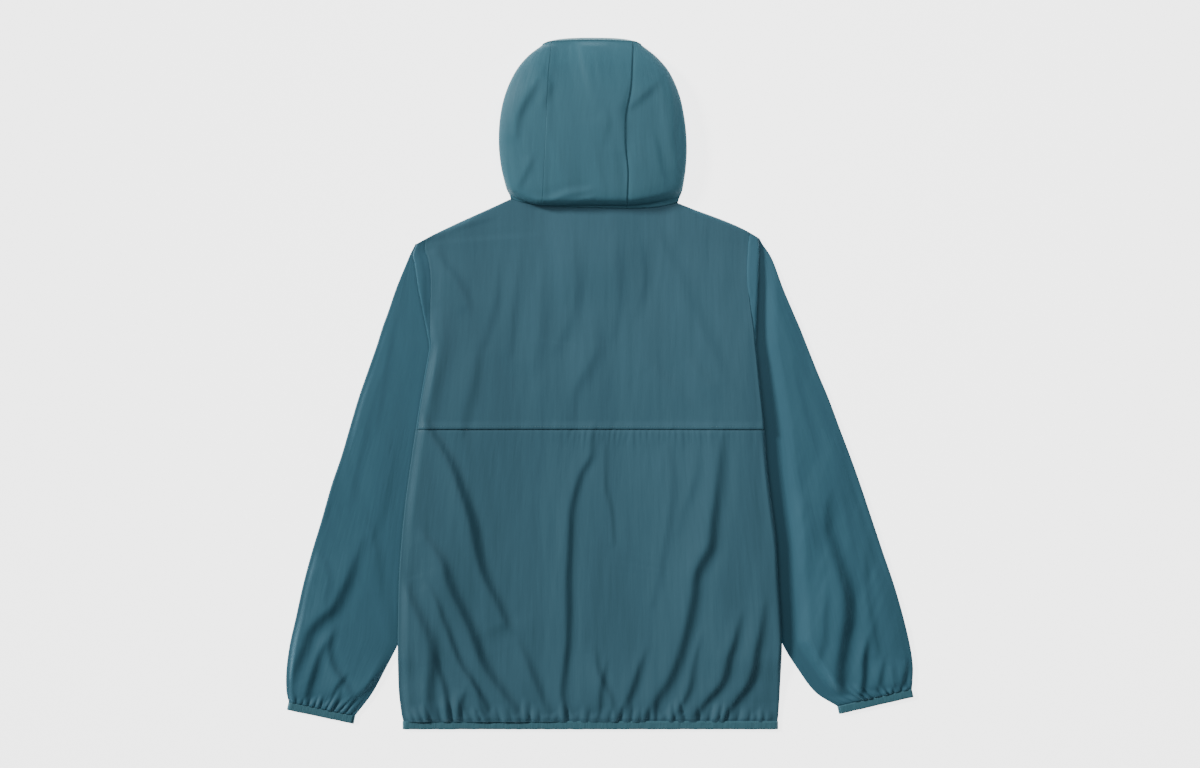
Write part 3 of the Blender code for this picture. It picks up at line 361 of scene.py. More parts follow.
# wrinkles all over the cloth: size across and along, and half height
WIDE_SIZE, WIDE_HEIGHT = (34, 150), 1.4336
MIDDLE_SIZE, MIDDLE_HEIGHT = (13, 70), 0.336
FINE_SIZE, FINE_HEIGHT = (6.5, 38), 0.14
SWAY = 9.6                    # how far the wide ones push the middle ones aside


def wrinkles(x, y, turn, seed):
    """Long shallow wrinkles that run along the cloth's own length, with small ones between."""
    wide = ripple(x, y, *WIDE_SIZE, seed, turn)
    middle = ripple(x + SWAY * wide, y, *MIDDLE_SIZE, seed + 1, turn)
    fine = ripple(x, y, *FINE_SIZE, seed + 2, turn)
    return wide * WIDE_HEIGHT + middle * MIDDLE_HEIGHT + fine * FINE_HEIGHT


# ---- heights of the lying cloth -------------------------------------------------------------
def squeeze(y):
    """The layers lie closer together towards the shoulders."""
    return 1 - 0.25 * fade(y, 140, 190)


def column(side):
    """The name of a side in the tables and in the pieces' names."""
    return "left" if side == LEFT else "right"


def by_side(x, left, right):
    """One of two values, by the side of the zip that x lies on."""
    return np.where(x < ZIP_X, left, right)


def edge_x(side, y):
    return SIDE_EDGE.at(column(side), y)


def lift(x, y, ramp=RAMP):
    """0 in the middle of the body, 1 over a tucked sleeve."""
    inner = by_side(x, -TUCK.at("left", y), TUCK.at("right", y))
    return fade(by_side(x, -x, x) - inner, -ramp, 0) * fade(y, -405, -367)


def zip_raise(x, y):
    """The zip and what lies beside it stand up a little below the chin."""
    return ZIP_ARCH * fade(y, 100, 170) * fade(y, 262, 217) * fade(np.abs(x - ZIP_X), 80, 25)


def front_z(x, y):
    return FLOOR + 2 * LAYER * lift(x, y) * fade(y, 15, -60) + zip_raise(x, y)


def shoulder_y(x):
    """The line of the shoulder seams and the neck seam, as seen from above."""
    share = (x - NECK[LEFT][0]) / (NECK[RIGHT][0] - NECK[LEFT][0])
    y = mix(NECK[LEFT][1], NECK[RIGHT][1], share) - NECK_DIP * (1 - (2 * share - 1) ** 4)
    for side in SIDES:
        neck_x, neck_y = NECK[side]
        share = (x - neck_x) / (TIP_X[side] - neck_x)
        bow = SHOULDER_BOW[side] * share ** 2 * (1 - share)
        y = np.where(side * x > side * neck_x, mix(neck_y, TIP_Y[side], share) + bow, y)
    return y


def back_plain_z(x, y):
    """The back without its folds and gathers."""
    over = BACK_OVER_SLEEVE * squeeze(y) - BODY_GAP
    over = over * lift(x, y, by_side(x, BACK_RAMP_LEFT, BACK_RAMP_RIGHT))
    z = FLOOR + BODY_GAP + over + 0.9 * zip_raise(x, y)
    rise_left = EDGE_RISE.at("left", y) * fade(x, -150, -230)
    rise_right = EDGE_RISE.at("right", y) * fade(x, 20, 210)
    rounded = 2.0 * (1 - fade(x - edge_x(LEFT, y), 0, 14)) * fade(y, 60, 30)
    hump = BACK_HUMP * np.exp(-((x - 30) / 100) ** 2) * fade(y, -90, 30) * fade(shoulder_y(x) - y, 0, 60)
    z = z + by_side(x, rise_left, rise_right) + hump - rounded
    return mix(HEM_BACK_Z, z, fade(y - HEM_Y, 0, 30))


def back_dress(x, y):
    """Creases and ripples of the back, none along its side folds and shoulder seams."""
    side = by_side(x, LEFT, RIGHT)
    from_side = side * (by_side(x, edge_x(LEFT, y), edge_x(RIGHT, y)) - x)
    from_top = shoulder_y(x) - y
    creases = relief(x, y, BACK_CREASES) * fade(from_side, 2, 14) * fade(from_top, 0, 14)
    calm = fade(from_side, 1, 13) * fade(y - HEM_Y, 4, 24) * fade(from_top, 0, 6)
    return creases + wrinkles(x, y, 0.0, 11) * calm


def armhole_dip(side, y):
    """The cloth on both sides of an armhole seam sinks towards it."""
    return ARMHOLE_DEPTH[side] * fade(y, 45, 100) * fade(y, 202, 180)


def head_y(side, x, y):
    """Carries the top of the armhole up to the shoulder seam's own line."""
    rise = np.maximum((y - YOKE_SEAM_Y) / (TIP_Y[side] - YOKE_SEAM_Y), 0)
    return y + (shoulder_y(x) - TIP_Y[side]) * rise ** 8


def back_base_z(x, y):
    """The back without creases, brought down to the front along the shoulder seams."""
    z = back_plain_z(x, y)
    side = by_side(x, LEFT, RIGHT)
    neck_x, tip_x = by_side(x, -NECK[LEFT][0], NECK[RIGHT][0]), by_side(x, -TIP_X[LEFT], TIP_X[RIGHT])
    sloped = fade(side * x - neck_x, 4, 24) * fade(tip_x - side * x, 12, 42)
    round_off = np.sqrt(1 - (1 - np.clip((shoulder_y(x) - y) / SHOULDER_ROLL, 0, 1)) ** 2)
    z = mix(z, mix(FLOOR + WALL + SEAM, z, round_off), sloped)
    from_seam = x - edge_x(LEFT, y) + ARMHOLE.at("left", y)
    return z - armhole_dip(LEFT, y) * (1 - fade(from_seam, 0, 18))


def over_z(side, y):
    """Height of the back where it turns into the side fold."""
    return back_plain_z(edge_x(side, y) - side * EDGE_INSET, y)


def under_z(side, y):
    """Height of the layer that the side fold turns into beneath."""
    over_front = FLOOR + 2 * LAYER * squeeze(y)
    beneath = front_z(edge_x(side, y) - side * EDGE_INSET, y)
    return np.where(y > YOKE_SEAM_Y - 0.2, over_front, beneath)


def fold_quarter(side, y):
    """Length of cloth from the side fold's outermost line to where it lies flat."""
    return math.pi * (over_z(side, y) - under_z(side, y)) / 4


def side_path(side, y, along):
    """A point of the side fold, by the distance along the cloth; positive is underneath."""
    over, under, quarter = over_z(side, y), under_z(side, y), fold_quarter(side, y)
    radius = (over - under) / 2
    angle = np.clip(along / radius, -math.pi / 2, math.pi / 2)
    beyond = np.maximum(np.abs(along) - quarter, 0)
    x = edge_x(side, y) - side * (radius - radius * np.cos(angle) + beyond)
    z = np.where(along > quarter, under, (over + under) / 2 - radius * np.sin(angle))
    return x, np.where(along < -quarter, back_plain_z(x, y), z)


def as_object(mesh, name, material):
    """Makes a finished bmesh an object of the scene."""
    data = bpy.data.meshes.new(name)
    mesh.to_mesh(data)
    mesh.free()
    data.materials.append(material)
    data.shade_smooth()
    piece = bpy.data.objects.new(name, data)
    bpy.context.scene.collection.objects.link(piece)
    return piece


# ---- building -------------------------------------------------------------------------------
WELD = 0.02                   # distance within which the grids' edges join


class Sheet:
    """Grids of one cloth piece, welded into one open surface and given a thin wall."""

    def __init__(self):
        self.mesh = bmesh.new()

    def add(self, columns, rows, place, dress=None):
        """place(column, rows) gives x, y, z and the share of creases of a column, in millimetres."""
        grid = bmesh.new()
        bmesh.ops.create_grid(grid, x_segments=columns, y_segments=rows, size=0.5)
        step = bpy.data.meshes.new("grid")
        grid.to_mesh(step)
        grid.free()
        flat = np.empty(len(step.vertices) * 3)
        step.vertices.foreach_get("co", flat)
        flat = flat.reshape(-1, 3)
        c = np.rint((flat[:, 0] + 0.5) * columns).astype(int)
        r = np.rint((flat[:, 1] + 0.5) * rows).astype(int)
        level = np.arange(rows + 1.0)
        net = np.array([np.broadcast_arrays(*place(k, level)) for k in range(columns + 1)])
        x, y, z = net[:, 0], net[:, 1], net[:, 2]
        if dress:
            z = z + net[:, 3] * dress(x, y)
        points = np.stack([x, y, z], axis=2)
        self.lay(step, points, c, r)
        self.mesh.from_mesh(step)
        bpy.data.meshes.remove(step)
        return self

    def lay(self, step, points, c, r):
        """Places a grid's vertices and gives it a map in metres along the cloth."""
        step.vertices.foreach_set("co", (points[c, r] * MM).astype(np.float32).ravel())
        middle_row, middle_column = points[:, points.shape[1] // 2], points[points.shape[0] // 2]
        across = np.concatenate([[0], np.cumsum(np.linalg.norm(np.diff(middle_row, axis=0), axis=1))])
        along = np.concatenate([[0], np.cumsum(np.linalg.norm(np.diff(middle_column, axis=0), axis=1))])
        layer = step.uv_layers.new(name="cloth")
        corner = np.empty(len(step.loops), int)
        step.loops.foreach_get("vertex_index", corner)
        uv = np.stack([across[c[corner]], along[r[corner]]], axis=1) * MM
        layer.data.foreach_set("uv", uv.astype(np.float32).ravel())

    def finish(self, name, material, thickness=None):
        """Welds the grids, turns their faces one way and adds the wall."""
        bmesh.ops.remove_doubles(self.mesh, verts=self.mesh.verts, dist=WELD * MM)
        bmesh.ops.recalc_face_normals(self.mesh, faces=self.mesh.faces)
        piece = as_object(self.mesh, name, material)
        wall = piece.modifiers.new("wall", "SOLIDIFY")
        wall.thickness = thickness or bpy.context.scene.jacket_looks.thickness
        wall.offset = 0.0
        return piece


def put(piece, slot, *nodes):
    """Every finished piece rides on the garment and stands for its nodes; the slot it is given is not used.
    """
    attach(piece, "garment")
    if nodes:
        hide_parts(*nodes)
    return piece


# ---- finishes -------------------------------------------------------------------------------
class Value:
    """A shader socket that takes part in Python arithmetic by adding Math nodes."""

    def __init__(self, graph, socket):
        self.graph, self.socket = graph, socket

    def maths(self, operation, other):
        return self.graph.add("ShaderNodeMath", {"operation": operation}, {0: self, 1: other})

    def __add__(self, other):
        return self.maths("ADD", other)

    def __mul__(self, other):
        return self.maths("MULTIPLY", other)

    __radd__ = __add__
    __rmul__ = __mul__


class Finish:
    """One material and the nodes behind its Principled shader."""

    def __init__(self, name, roughness, specular, sheen=0.0, sheen_tint=(1, 1, 1)):
        self.material = bpy.data.materials.new(name)
        self.material.use_nodes = True
        self.tree = self.material.node_tree
        self.shader = self.tree.nodes["Principled BSDF"]
        for socket, value in (("Roughness", roughness), ("Specular IOR Level", specular),
                              ("Sheen Weight", sheen), ("Sheen Tint", (*sheen_tint, 1.0))):
            self.shader.inputs[socket].default_value = value

    def add(self, kind, settings=None, sockets=None, out=0):
        node = self.tree.nodes.new(kind)
        for name, value in (settings or {}).items():
            setattr(node, name, value)
        for key, value in (sockets or {}).items():
            if isinstance(value, Value):
                self.tree.links.new(value.socket, node.inputs[key])
            else:
                node.inputs[key].default_value = value
        return Value(self, node.outputs[out])

    def link(self, value, name):
        self.tree.links.new(value.socket, self.shader.inputs[name])

    def noise(self, scale, detail, source="UV"):
        """Noise on the cloth's own map, or on the object's coordinates, scaled in each direction."""
        where = self.add("ShaderNodeTexCoord", out={"UV": 2, "Object": 3}[source])
        where = self.add("ShaderNodeMapping", None, {"Vector": where, "Scale": scale})
        return self.add("ShaderNodeTexNoise", None, {"Vector": where, "Scale": 1.0, "Detail": detail})

    def tint(self, colour, dark, light, share):
        """A base colour between a darker and a lighter tone of one colour, by a value."""
        low, high = ((*(c * tone for c in colour), 1.0) for tone in (dark, light))
        tones = {0: share, 6: low, 7: high}
        self.link(self.add("ShaderNodeMix", {"data_type": "RGBA"}, tones, out=2), "Base Color")

    def bump(self, height, distance):
        self.link(self.add("ShaderNodeBump", None, {"Height": height, "Distance": distance}), "Normal")


def cloth_finish(name, colour):
    """Thin, smooth, closely woven cloth: long streaks along the warp, faint threads, soft sheen."""
    finish = Finish(name, roughness=0.5, specular=0.12, sheen=0.03, sheen_tint=(0.45, 0.85, 1.0))
    streak = finish.noise((420, 30, 1), 3.0)
    patch = finish.noise((24, 9, 1), 3.0)
    finish.tint(colour, 0.92, 1.08, streak * 0.5 + patch * 0.5)
    finish.link(streak * 0.10 + patch * 0.10 + 0.45, "Roughness")
    threads = finish.noise((2400, 300, 1), 1.0) + finish.noise((300, 2400, 1), 1.0)
    soft = finish.noise((150, 16, 1), 2.0) * 0.7 + finish.noise((60, 34, 1), 2.0) * 0.3
    finish.bump(soft * 0.5 + threads * 0.012, 0.0012)
    return finish.material


def binding_finish(name, colour):
    """Stretch binding with fine ribs across its width."""
    finish = Finish(name, roughness=0.62, specular=0.28, sheen=0.25, sheen_tint=(0.6, 0.85, 0.9))
    grain = finish.noise((900, 60, 1), 2.0)
    finish.tint(colour, 0.84, 1.14, grain)
    finish.bump(grain + finish.noise((160, 40, 1), 2.0), 0.0006)
    return finish.material


def tape_finish(name, colour):
    """Matt woven tape."""
    finish = Finish(name, roughness=0.75, specular=0.2, sheen=0.2)
    weave = finish.noise((500, 1500, 1), 2.0)
    finish.tint(colour, 0.8, 1.2, weave)
    finish.bump(weave, 0.0003)
    return finish.material


def plastic_finish(name, colour):
    """Satin moulded plastic."""
    finish = Finish(name, roughness=0.34, specular=0.5)
    grain = finish.noise((350, 350, 350), 3.0, "Object")
    finish.tint(colour, 0.86, 1.14, grain)
    finish.link(grain * 0.16 + 0.28, "Roughness")
    finish.bump(grain, 0.0001)
    return finish.material


def thread_finish(name, colour):
    """Sewing thread in the cloth's own colour."""
    finish = Finish(name, roughness=0.6, specular=0.3, sheen=0.3)
    finish.tint(colour, 0.8, 1.2, finish.noise((2500, 2500, 2500), 2.0, "Object"))
    return finish.material


def shared(make, name, colour):
    """Each finish is made once and used by all the pieces that have it."""
    return bpy.data.materials.get(name) or make(name, tuple(colour))


# ---- back -----------------------------------------------------------------------------------
GATHER_LENGTH = 46.0
BACK_GATHERS, BACK_GATHER_HEIGHT = 38, 1.9   # along the hem
YOKE_GATHERS, YOKE_GATHER_HEIGHT = 58, 0.5   # below the yoke
YOKE_ROLL = 1.0               # height of the yoke's turned edge above the seam
YOKE_TURN = 0.5               # how far it turns down again at the seam
YOKE_PUCKER = 0.25
YOKE_TUCK = 0.7               # how far the lower back goes down into the seam


def gather(share, from_edge, count, height, seed, length=GATHER_LENGTH):
    """Puffs between sewn pinches, uneven in width and length, that die out above the binding."""
    share = share + 0.35 / count * ripple(share * count, 0 * share, 1.7, 1, seed)
    own = ripple(share * count, 0 * share, 1.0, 1, seed + 1)
    reach = length * (0.62 + 0.38 * own)
    lean = 0.25 / count * ripple(share * count, 0 * share, 3.0, 1, seed + 2) * from_edge / 12
    puff = np.abs(np.sin(np.pi * count * (share + lean))) ** 0.65 * 2
    swell = mix(0.5, 1.0, fade(from_edge, 0, 5)) * fade(from_edge, reach, 4)
    return height * (0.8 + 0.35 * own) * swell * puff


def make_yoke(material):
    side_run, middle = 34, 150
    columns, rows = 2 * side_run + middle, 150
    bottom = YOKE_SEAM_Y - 1.0

    def place(c, r):
        rise = 1 - (1 - r / rows) ** 1.15
        if c <= side_run or c >= side_run + middle:
            side, k = (LEFT, c) if c <= side_run else (RIGHT, columns - c)
            y_side = mix(bottom, TIP_Y[side], rise)
            start = side_path(side, y_side, ARMHOLE.at(column(side), y_side) - SEAM / 2)[0]
            x = mix(start, NECK[side][0], (k / side_run) ** 1.15)
            if k == 0:
                y = head_y(side, x, y_side)
                return x, y, back_base_z(x, y), 1.0
        else:
            x = mix(NECK[LEFT][0], NECK[RIGHT][0], (c - side_run) / middle) + 0 * r
        y = mix(bottom, shoulder_y(x), rise)
        above = y - bottom
        seam_roll = YOKE_ROLL * fade(above, 12, 2) - YOKE_TURN * fade(above, 1.6, 0)
        pucker = YOKE_PUCKER * ripple(x, y, 7, 12, 71) * fade(above, 16, 4)
        return x, y, back_base_z(x, y) + seam_roll + pucker, 1.0

    return Sheet().add(columns, rows, place, back_dress).finish("back_yoke_cloth", material)


def make_lower_back(material):
    fold, inner = 12, 224
    columns, rows = inner + 2 * fold, 186

    def fold_end(side, y):
        return -fold_quarter(side, y) - 0.6

    def place(c, r):
        y = mix(HEM_Y - 0.5, YOKE_SEAM_Y + 2.0, (r / rows) ** 1.22)
        for side, k in ((LEFT, c), (RIGHT, columns - c)):
            if k < fold:
                x, z = side_path(side, y, mix(SIDE_SEAM, fold_end(side, y), k / fold))
                return x, y, z, 0.0
        share = (c - fold) / inner
        left, right = (side_path(side, y, fold_end(side, y))[0] for side in SIDES)
        x = mix(left, right, share)
        at_ends = fade(share * inner, 0, 6) * fade((1 - share) * inner, 0, 6)
        wave = gather(share + 0 * y, y - HEM_Y, BACK_GATHERS, BACK_GATHER_HEIGHT, 31)
        tuck = YOKE_TUCK * fade(y - YOKE_SEAM_Y, -2.5, 0)
        small = gather(share + 0 * y, YOKE_SEAM_Y - y, YOKE_GATHERS, YOKE_GATHER_HEIGHT, 41, 44)
        small = small * mix(0.25, 1.0, fade(x, -90, -20) * fade(x, 190, 130))
        return x, y, back_base_z(x, y) + at_ends * wave - tuck + small, 1.0

    return Sheet().add(columns, rows, place, back_dress).finish("back_lower_cloth", material)


# ---- fronts ---------------------------------------------------------------------------------
def neckline(side, share):
    """The front neckline, from the shoulder (0) to the zip (1)."""
    neck_x, neck_y = NECK[side]
    x = mix(neck_x, ZIP_X + side * ZIP_HALF, share ** 1.3)
    return x, mix(neck_y, NECK_DEPTH_Y, 1 - (1 - share) ** 1.7)


def front_armhole_x(side, y):
    return TUCK.at(column(side), y) - side * 9


def front_relief(x, y, side):
    """The underside is pressed flat, with shallow creases that go up into the garment."""
    inner = fade(side * (x - ZIP_X), 15, 45) * fade(y - HEM_Y, 5, 30) * fade(y, 150, 90)
    return np.maximum(wrinkles(x, y, 0.1 * side, 51 + side), -0.05) * inner + 0.25 * inner


def make_front(side, material):
    neck, outer, lower, upper, wing = 26, 26, 90, 70, 12

    def line_x(y):
        inner = side * edge_x(side, y) - 12
        return side * np.minimum(inner, side * front_armhole_x(side, y))

    def level(r):
        return mix(HEM_Y, YOKE_SEAM_Y, np.minimum(r / lower, 1))

    def place(c, r):
        above = 1 - (1 - np.maximum(r - lower, 0) / upper) ** 1.3
        y_side = np.where(r <= lower, level(r), mix(YOKE_SEAM_Y, TIP_Y[side], above))
        outer_x = line_x(y_side) - side * SEAM / 2 * (r > lower)
        if c <= neck:
            x, top = neckline(side, 1 - c / neck)
            x, top = x + 0 * r, top + 0 * r
        else:
            x = mix(NECK[side][0], outer_x, (c - neck) / outer)
            top = shoulder_y(x) if c < neck + outer else TIP_Y[side] + 0 * r
        y = np.where(r <= lower, level(r), mix(YOKE_SEAM_Y, top, above))
        return x, y, front_z(x, y) + front_relief(x, y, side)

    def place_wing(c, r):
        y = level(r)
        edge, z = side_path(side, y, SIDE_SEAM + 0.4)
        if c < 1:
            return edge, y, z
        x = mix(edge, line_x(y), c / wing)
        return x, y, front_z(x, y) + front_relief(x, y, side)

    cloth = Sheet().add(neck + outer, lower + upper, place).add(wing, lower, place_wing)
    return cloth.finish("front_%s_cloth" % column(side), material)


# ---- sleeves --------------------------------------------------------------------------------
CUFF_GATHERS, CUFF_GATHER_HEIGHT = 10, 2.3
SLEEVE_LENGTH = 480           # from underarm to cuff
SLEEVE_LEAN = -0.36           # turn of the wrinkles, which run along the arm
ARMHOLE_TURN = 1.5            # cloth turned in at the armhole seam


def sleeve_top_z(side, x, y, out_x, in_x):
    """The sleeve's upper layer: flat beneath the body, filled out beside it."""
    body = side * edge_x(side, y)
    body = np.where(y < -352, np.minimum(side * in_x, body), body)
    body = np.maximum(body, side * in_x)
    inside = side * out_x - side * x
    if side == LEFT:
        start, width = -8, mix(60, 22, fade(y, -260, -350))
        filled = mix(0.8, 1.2, fade(y, -150, -300)) * fade(inside, 0, 55)
    else:
        start, width = mix(6, 19, fade(y, 120, -80)), 22
        filled = 2.2 * fade(inside, 0, 24)
    beside = fade(side * x - body, start, start + width)
    swell = OUTER_ROLL - LAYER + filled
    return FLOOR + LAYER * squeeze(y) + beside * swell * squeeze(y) ** 3, beside * fade(inside, 3, 10)


def make_sleeve(side, material):
    name = column(side)
    head, back_run, fold, roll, under, top = 16, 4, 6, 10, 14, 84
    hidden = 8
    upper_columns = head + back_run + fold + top + roll + under + 1
    lower_columns = fold + top + roll + under
    upper_rows, lower_rows = 96, 150
    radius_in = LAYER / 2

    def top_run(k, in_point, out_point):
        """Upper layer, rolled outer edge and lower layer, for one column of all rows."""
        in_x, in_y = in_point
        out_x, out_y = out_point
        slope = (out_y - in_y) / (out_x - in_x)
        edge_top = sleeve_top_z(side, out_x - side * 2, out_y, out_x, in_x)[0]
        radius = (edge_top - FLOOR) / 2
        start, end = in_x + side * radius_in, out_x - side * radius
        if k <= top:
            beside = edge_x(side, in_y + slope * (edge_x(side, in_y) - in_x)) + side
            beside = side * np.minimum(np.maximum(side * beside, side * start + 3), side * end - 6)
            across = (k - hidden) / (top - hidden)
            x = mix(start, beside, k / hidden) if across < 0 else mix(beside, end, across)
            y = in_y + slope * (x - in_x)
            z, creased = sleeve_top_z(side, x, y, out_x, in_x)
            return x, y, z, creased, across
        k -= top
        if k <= roll:
            angle = math.pi * k / roll
            x = end + side * radius * math.sin(angle)
            z = FLOOR + radius * (1 + math.cos(angle))
        else:
            x = mix(end, start, (k - roll) / under)
            z = FLOOR + 0 * x
        return x, in_y + slope * (x - in_x), z, 0.0, 1.0

    def dress(x, y):
        calm = mix(1.0, 0.35, fade(y, -200, -50)) if side == RIGHT else 0.7
        return relief(x, y, SLEEVE_CREASES) + wrinkles(x, y, SLEEVE_LEAN * side, 81 + side) * calm

    def place_upper(c, r):
        rise = 1 - (1 - r / upper_rows) ** 1.3
        y = mix(YOKE_SEAM_Y, TIP_Y[side], rise)
        in_x, out_x = TUCK.at(name, y), SLEEVE_TOP.at(name, y)
        gap = squeeze(y) * LAYER
        seam, quarter = ARMHOLE.at(name, y), fold_quarter(side, y)
        if c <= head:
            seam = seam + SEAM / 2
            along = mix(seam, np.maximum(quarter, seam + 2), max(c - 1, 0) / (head - 1))
            along = along - ARMHOLE_TURN * (c == 0)
            x, z = side_path(side, y, along)
            from_seam = along - seam
            dip = 0.9 * (c == 0) + 0.4 * fade(from_seam, 2.5, 0)
            dip = dip + armhole_dip(side, y) * (1 - fade(from_seam, 0, 13)) * (along < quarter * 0.6)
            pucker = 0.3 * ripple(y, along, 9, 6, 91 + side) * fade(from_seam, 6, 1)
            return x, head_y(side, x, y), z + pucker - dip, 0.0
        c -= head
        if c < back_run:
            start = side_path(side, y, np.maximum(quarter, seam + 2) + 0.8)[0]
            x = mix(start, in_x + side * gap / 2, c / back_run)
            return x, y, FLOOR + 2 * gap, 0.0
        c -= back_run
        if c < fold:
            angle = math.pi * c / fold
            x = in_x + side * gap / 2 * (1 - math.sin(angle))
            return x, y, FLOOR + gap * (1.5 + 0.5 * math.cos(angle)), 0.0
        c -= fold
        if c <= top + roll + under:
            return top_run(c, (in_x, y), (out_x, y))[:4]
        x = front_armhole_x(side, y) + side * SEAM / 2
        return x, y, front_z(x, y), 0.0

    def place_lower(c, r):
        t = (1 - r / lower_rows) ** 0.9
        in_x, in_y, out_x, out_y = (SLEEVE.at(name + end, t) for end in ("_in", "_in_y", "_out", "_out_y"))
        settle = fade(1 - t, 0, 0.07)
        if c < fold:
            angle = math.pi * c / fold
            z = sleeve_top_z(side, in_x + side * radius_in, in_y, out_x, in_x)[0]
            z = mix(HEM_BACK_Z, z, settle)
            x = in_x + side * radius_in * (1 - math.sin(angle))
            y = in_y + (out_y - in_y) / (out_x - in_x) * (x - in_x)
            return x, y, mix(FLOOR, z, (1 - math.cos(angle)) / 2), 0.0
        x, y, z, creased, across = top_run(c - fold, (in_x, in_y), (out_x, out_y))
        if c - fold <= top + roll / 2:
            z = mix(np.minimum(z, HEM_BACK_Z), z, settle)
        if 0 < across < 1:
            from_cuff = (1 - t) * SLEEVE_LENGTH
            wave = gather(across + 0 * t, from_cuff, CUFF_GATHERS, CUFF_GATHER_HEIGHT, 61 + side)
            z = z + wave * math.sin(math.pi * across) ** 0.3
        return x, y, z, creased * fade(1 - t, 0, 0.04)

    cloth = Sheet().add(upper_columns, upper_rows, place_upper, dress)
    cloth.add(lower_columns, lower_rows, place_lower, dress)
    return cloth.finish("sleeve_%s_cloth" % name, material)


# ---- hood -----------------------------------------------------------------------------------
HOOD_ROWS = 140
SEAM_TURN = 3.0               # cloth turned in at a hood seam
SEAM_LAP = 1.2                # and laid over the next panel at the other
STAND_ROW, FREE_ROW = 0.02, 0.05  # rows between which the hood leaves the yoke's neck edge


def seam_point(side, v):
    """A point of a hood seam; near the neck it stands up behind the yoke's edge."""
    x = HOOD.at(column(side) + "_seam", v)
    return neck_stand(x, HOOD.at("seam_y", v), HOOD.at("crown", v), v)


def neck_foot(x, v):
    """The hood comes out from beneath the yoke's neck edge and stands up behind it."""
    edge = shoulder_y(x)
    out = np.minimum(v / 0.01, 1)
    stand = NECK_STAND * np.minimum(v / STAND_ROW, 1)
    return edge + mix(-1.5, SEAM, out), back_plain_z(x, edge) - 1.2 * (1 - out) + stand


def past_stand(v):
    """0 while the hood stands up behind the neck edge, 1 where it has left it."""
    return fade(v, STAND_ROW, FREE_ROW)


def neck_stand(x, y, z, v):
    """Moves a point of the hood's first rows on to its stand."""
    foot_y, foot_z = neck_foot(x, v)
    free = past_stand(v)
    return x, mix(foot_y, y, free), mix(foot_z, z, free)


def outline_point(side, v):
    """A point of the hood's outline; near the neck it starts at the end of the shoulder seam."""
    drop = (NECK[side][1] - NECK[LEFT][1]) * fade(v, 0.3, 0)
    x, y, z = HOOD.at(column(side), v), HOOD.at("outline_y", v) + drop, HOOD.at("outline_z", v)
    corner_x, corner_y = NECK[side][0] - side * SEAM, NECK[side][1] + SEAM + WALL / 2
    start = np.minimum(v / STAND_ROW, 1)
    free = past_stand(v)
    return (mix(corner_x + side * 1.4 * start, x, free), mix(corner_y + 1.7 * start, y, free),
            mix(3.0 + 1.6 * start, z, free))


def edge_point(side, v):
    """A point of the face opening's edge."""
    x, y = HOOD.at(column(side) + "_edge", v), HOOD.at("edge_y", v)
    return x, y, HOOD.at("edge_z", v) + zip_raise(x, y)


def hood_calm(v):
    """No creases and raised seams where the hood meets the yoke and its edge binding."""
    return fade(v, 0, 0.12) * fade(v, 1, 0.95)


def hood_dress(x, y):
    return relief(x, y, HOOD_CREASES) + wrinkles(x, y, 0.15, 121) * 1.2


def make_hood_centre(material):
    inner = 66
    columns = inner + 2

    def place(c, r):
        v, u = r / HOOD_ROWS, min(max(c - 1, 0), inner) / inner
        left, right = seam_point(LEFT, v), seam_point(RIGHT, v)
        x = mix(left[0] + SEAM / 2, right[0] - SEAM / 2, u)
        arch = 4 * u * (1 - u)
        y = mix(left[1], right[1], u) + arch * HOOD_TOP_BOW * fade(v, 0.8, 1)
        z = mix(left[2], right[2], u) + arch * HOOD_ARCH * np.sin(math.pi * v)
        x, y, z = neck_stand(x, y, z, v)
        width = right[0] - left[0]
        raised = 0.9 * fade(width * u, 10, 0) + 0.3 * fade(width * (1 - u), 4, 0)
        turned_in = SEAM_TURN * (c in (0, columns)) * fade(v, 0, 0.05)
        return x, y, z + raised * hood_calm(v) - turned_in, hood_calm(v)

    return Sheet().add(columns, HOOD_ROWS, place, hood_dress).finish("hood_centre_cloth", material)


def hood_turn(side, v, angle):
    """A point on the hood's round between a seam (0) and the outline (a quarter turn)."""
    seam, out = seam_point(side, v), outline_point(side, v)
    across = math.sin(angle)
    return (mix(seam[0], out[0], across), mix(seam[1], out[1], across ** 1.5),
            mix(out[2], seam[2], math.cos(angle)))


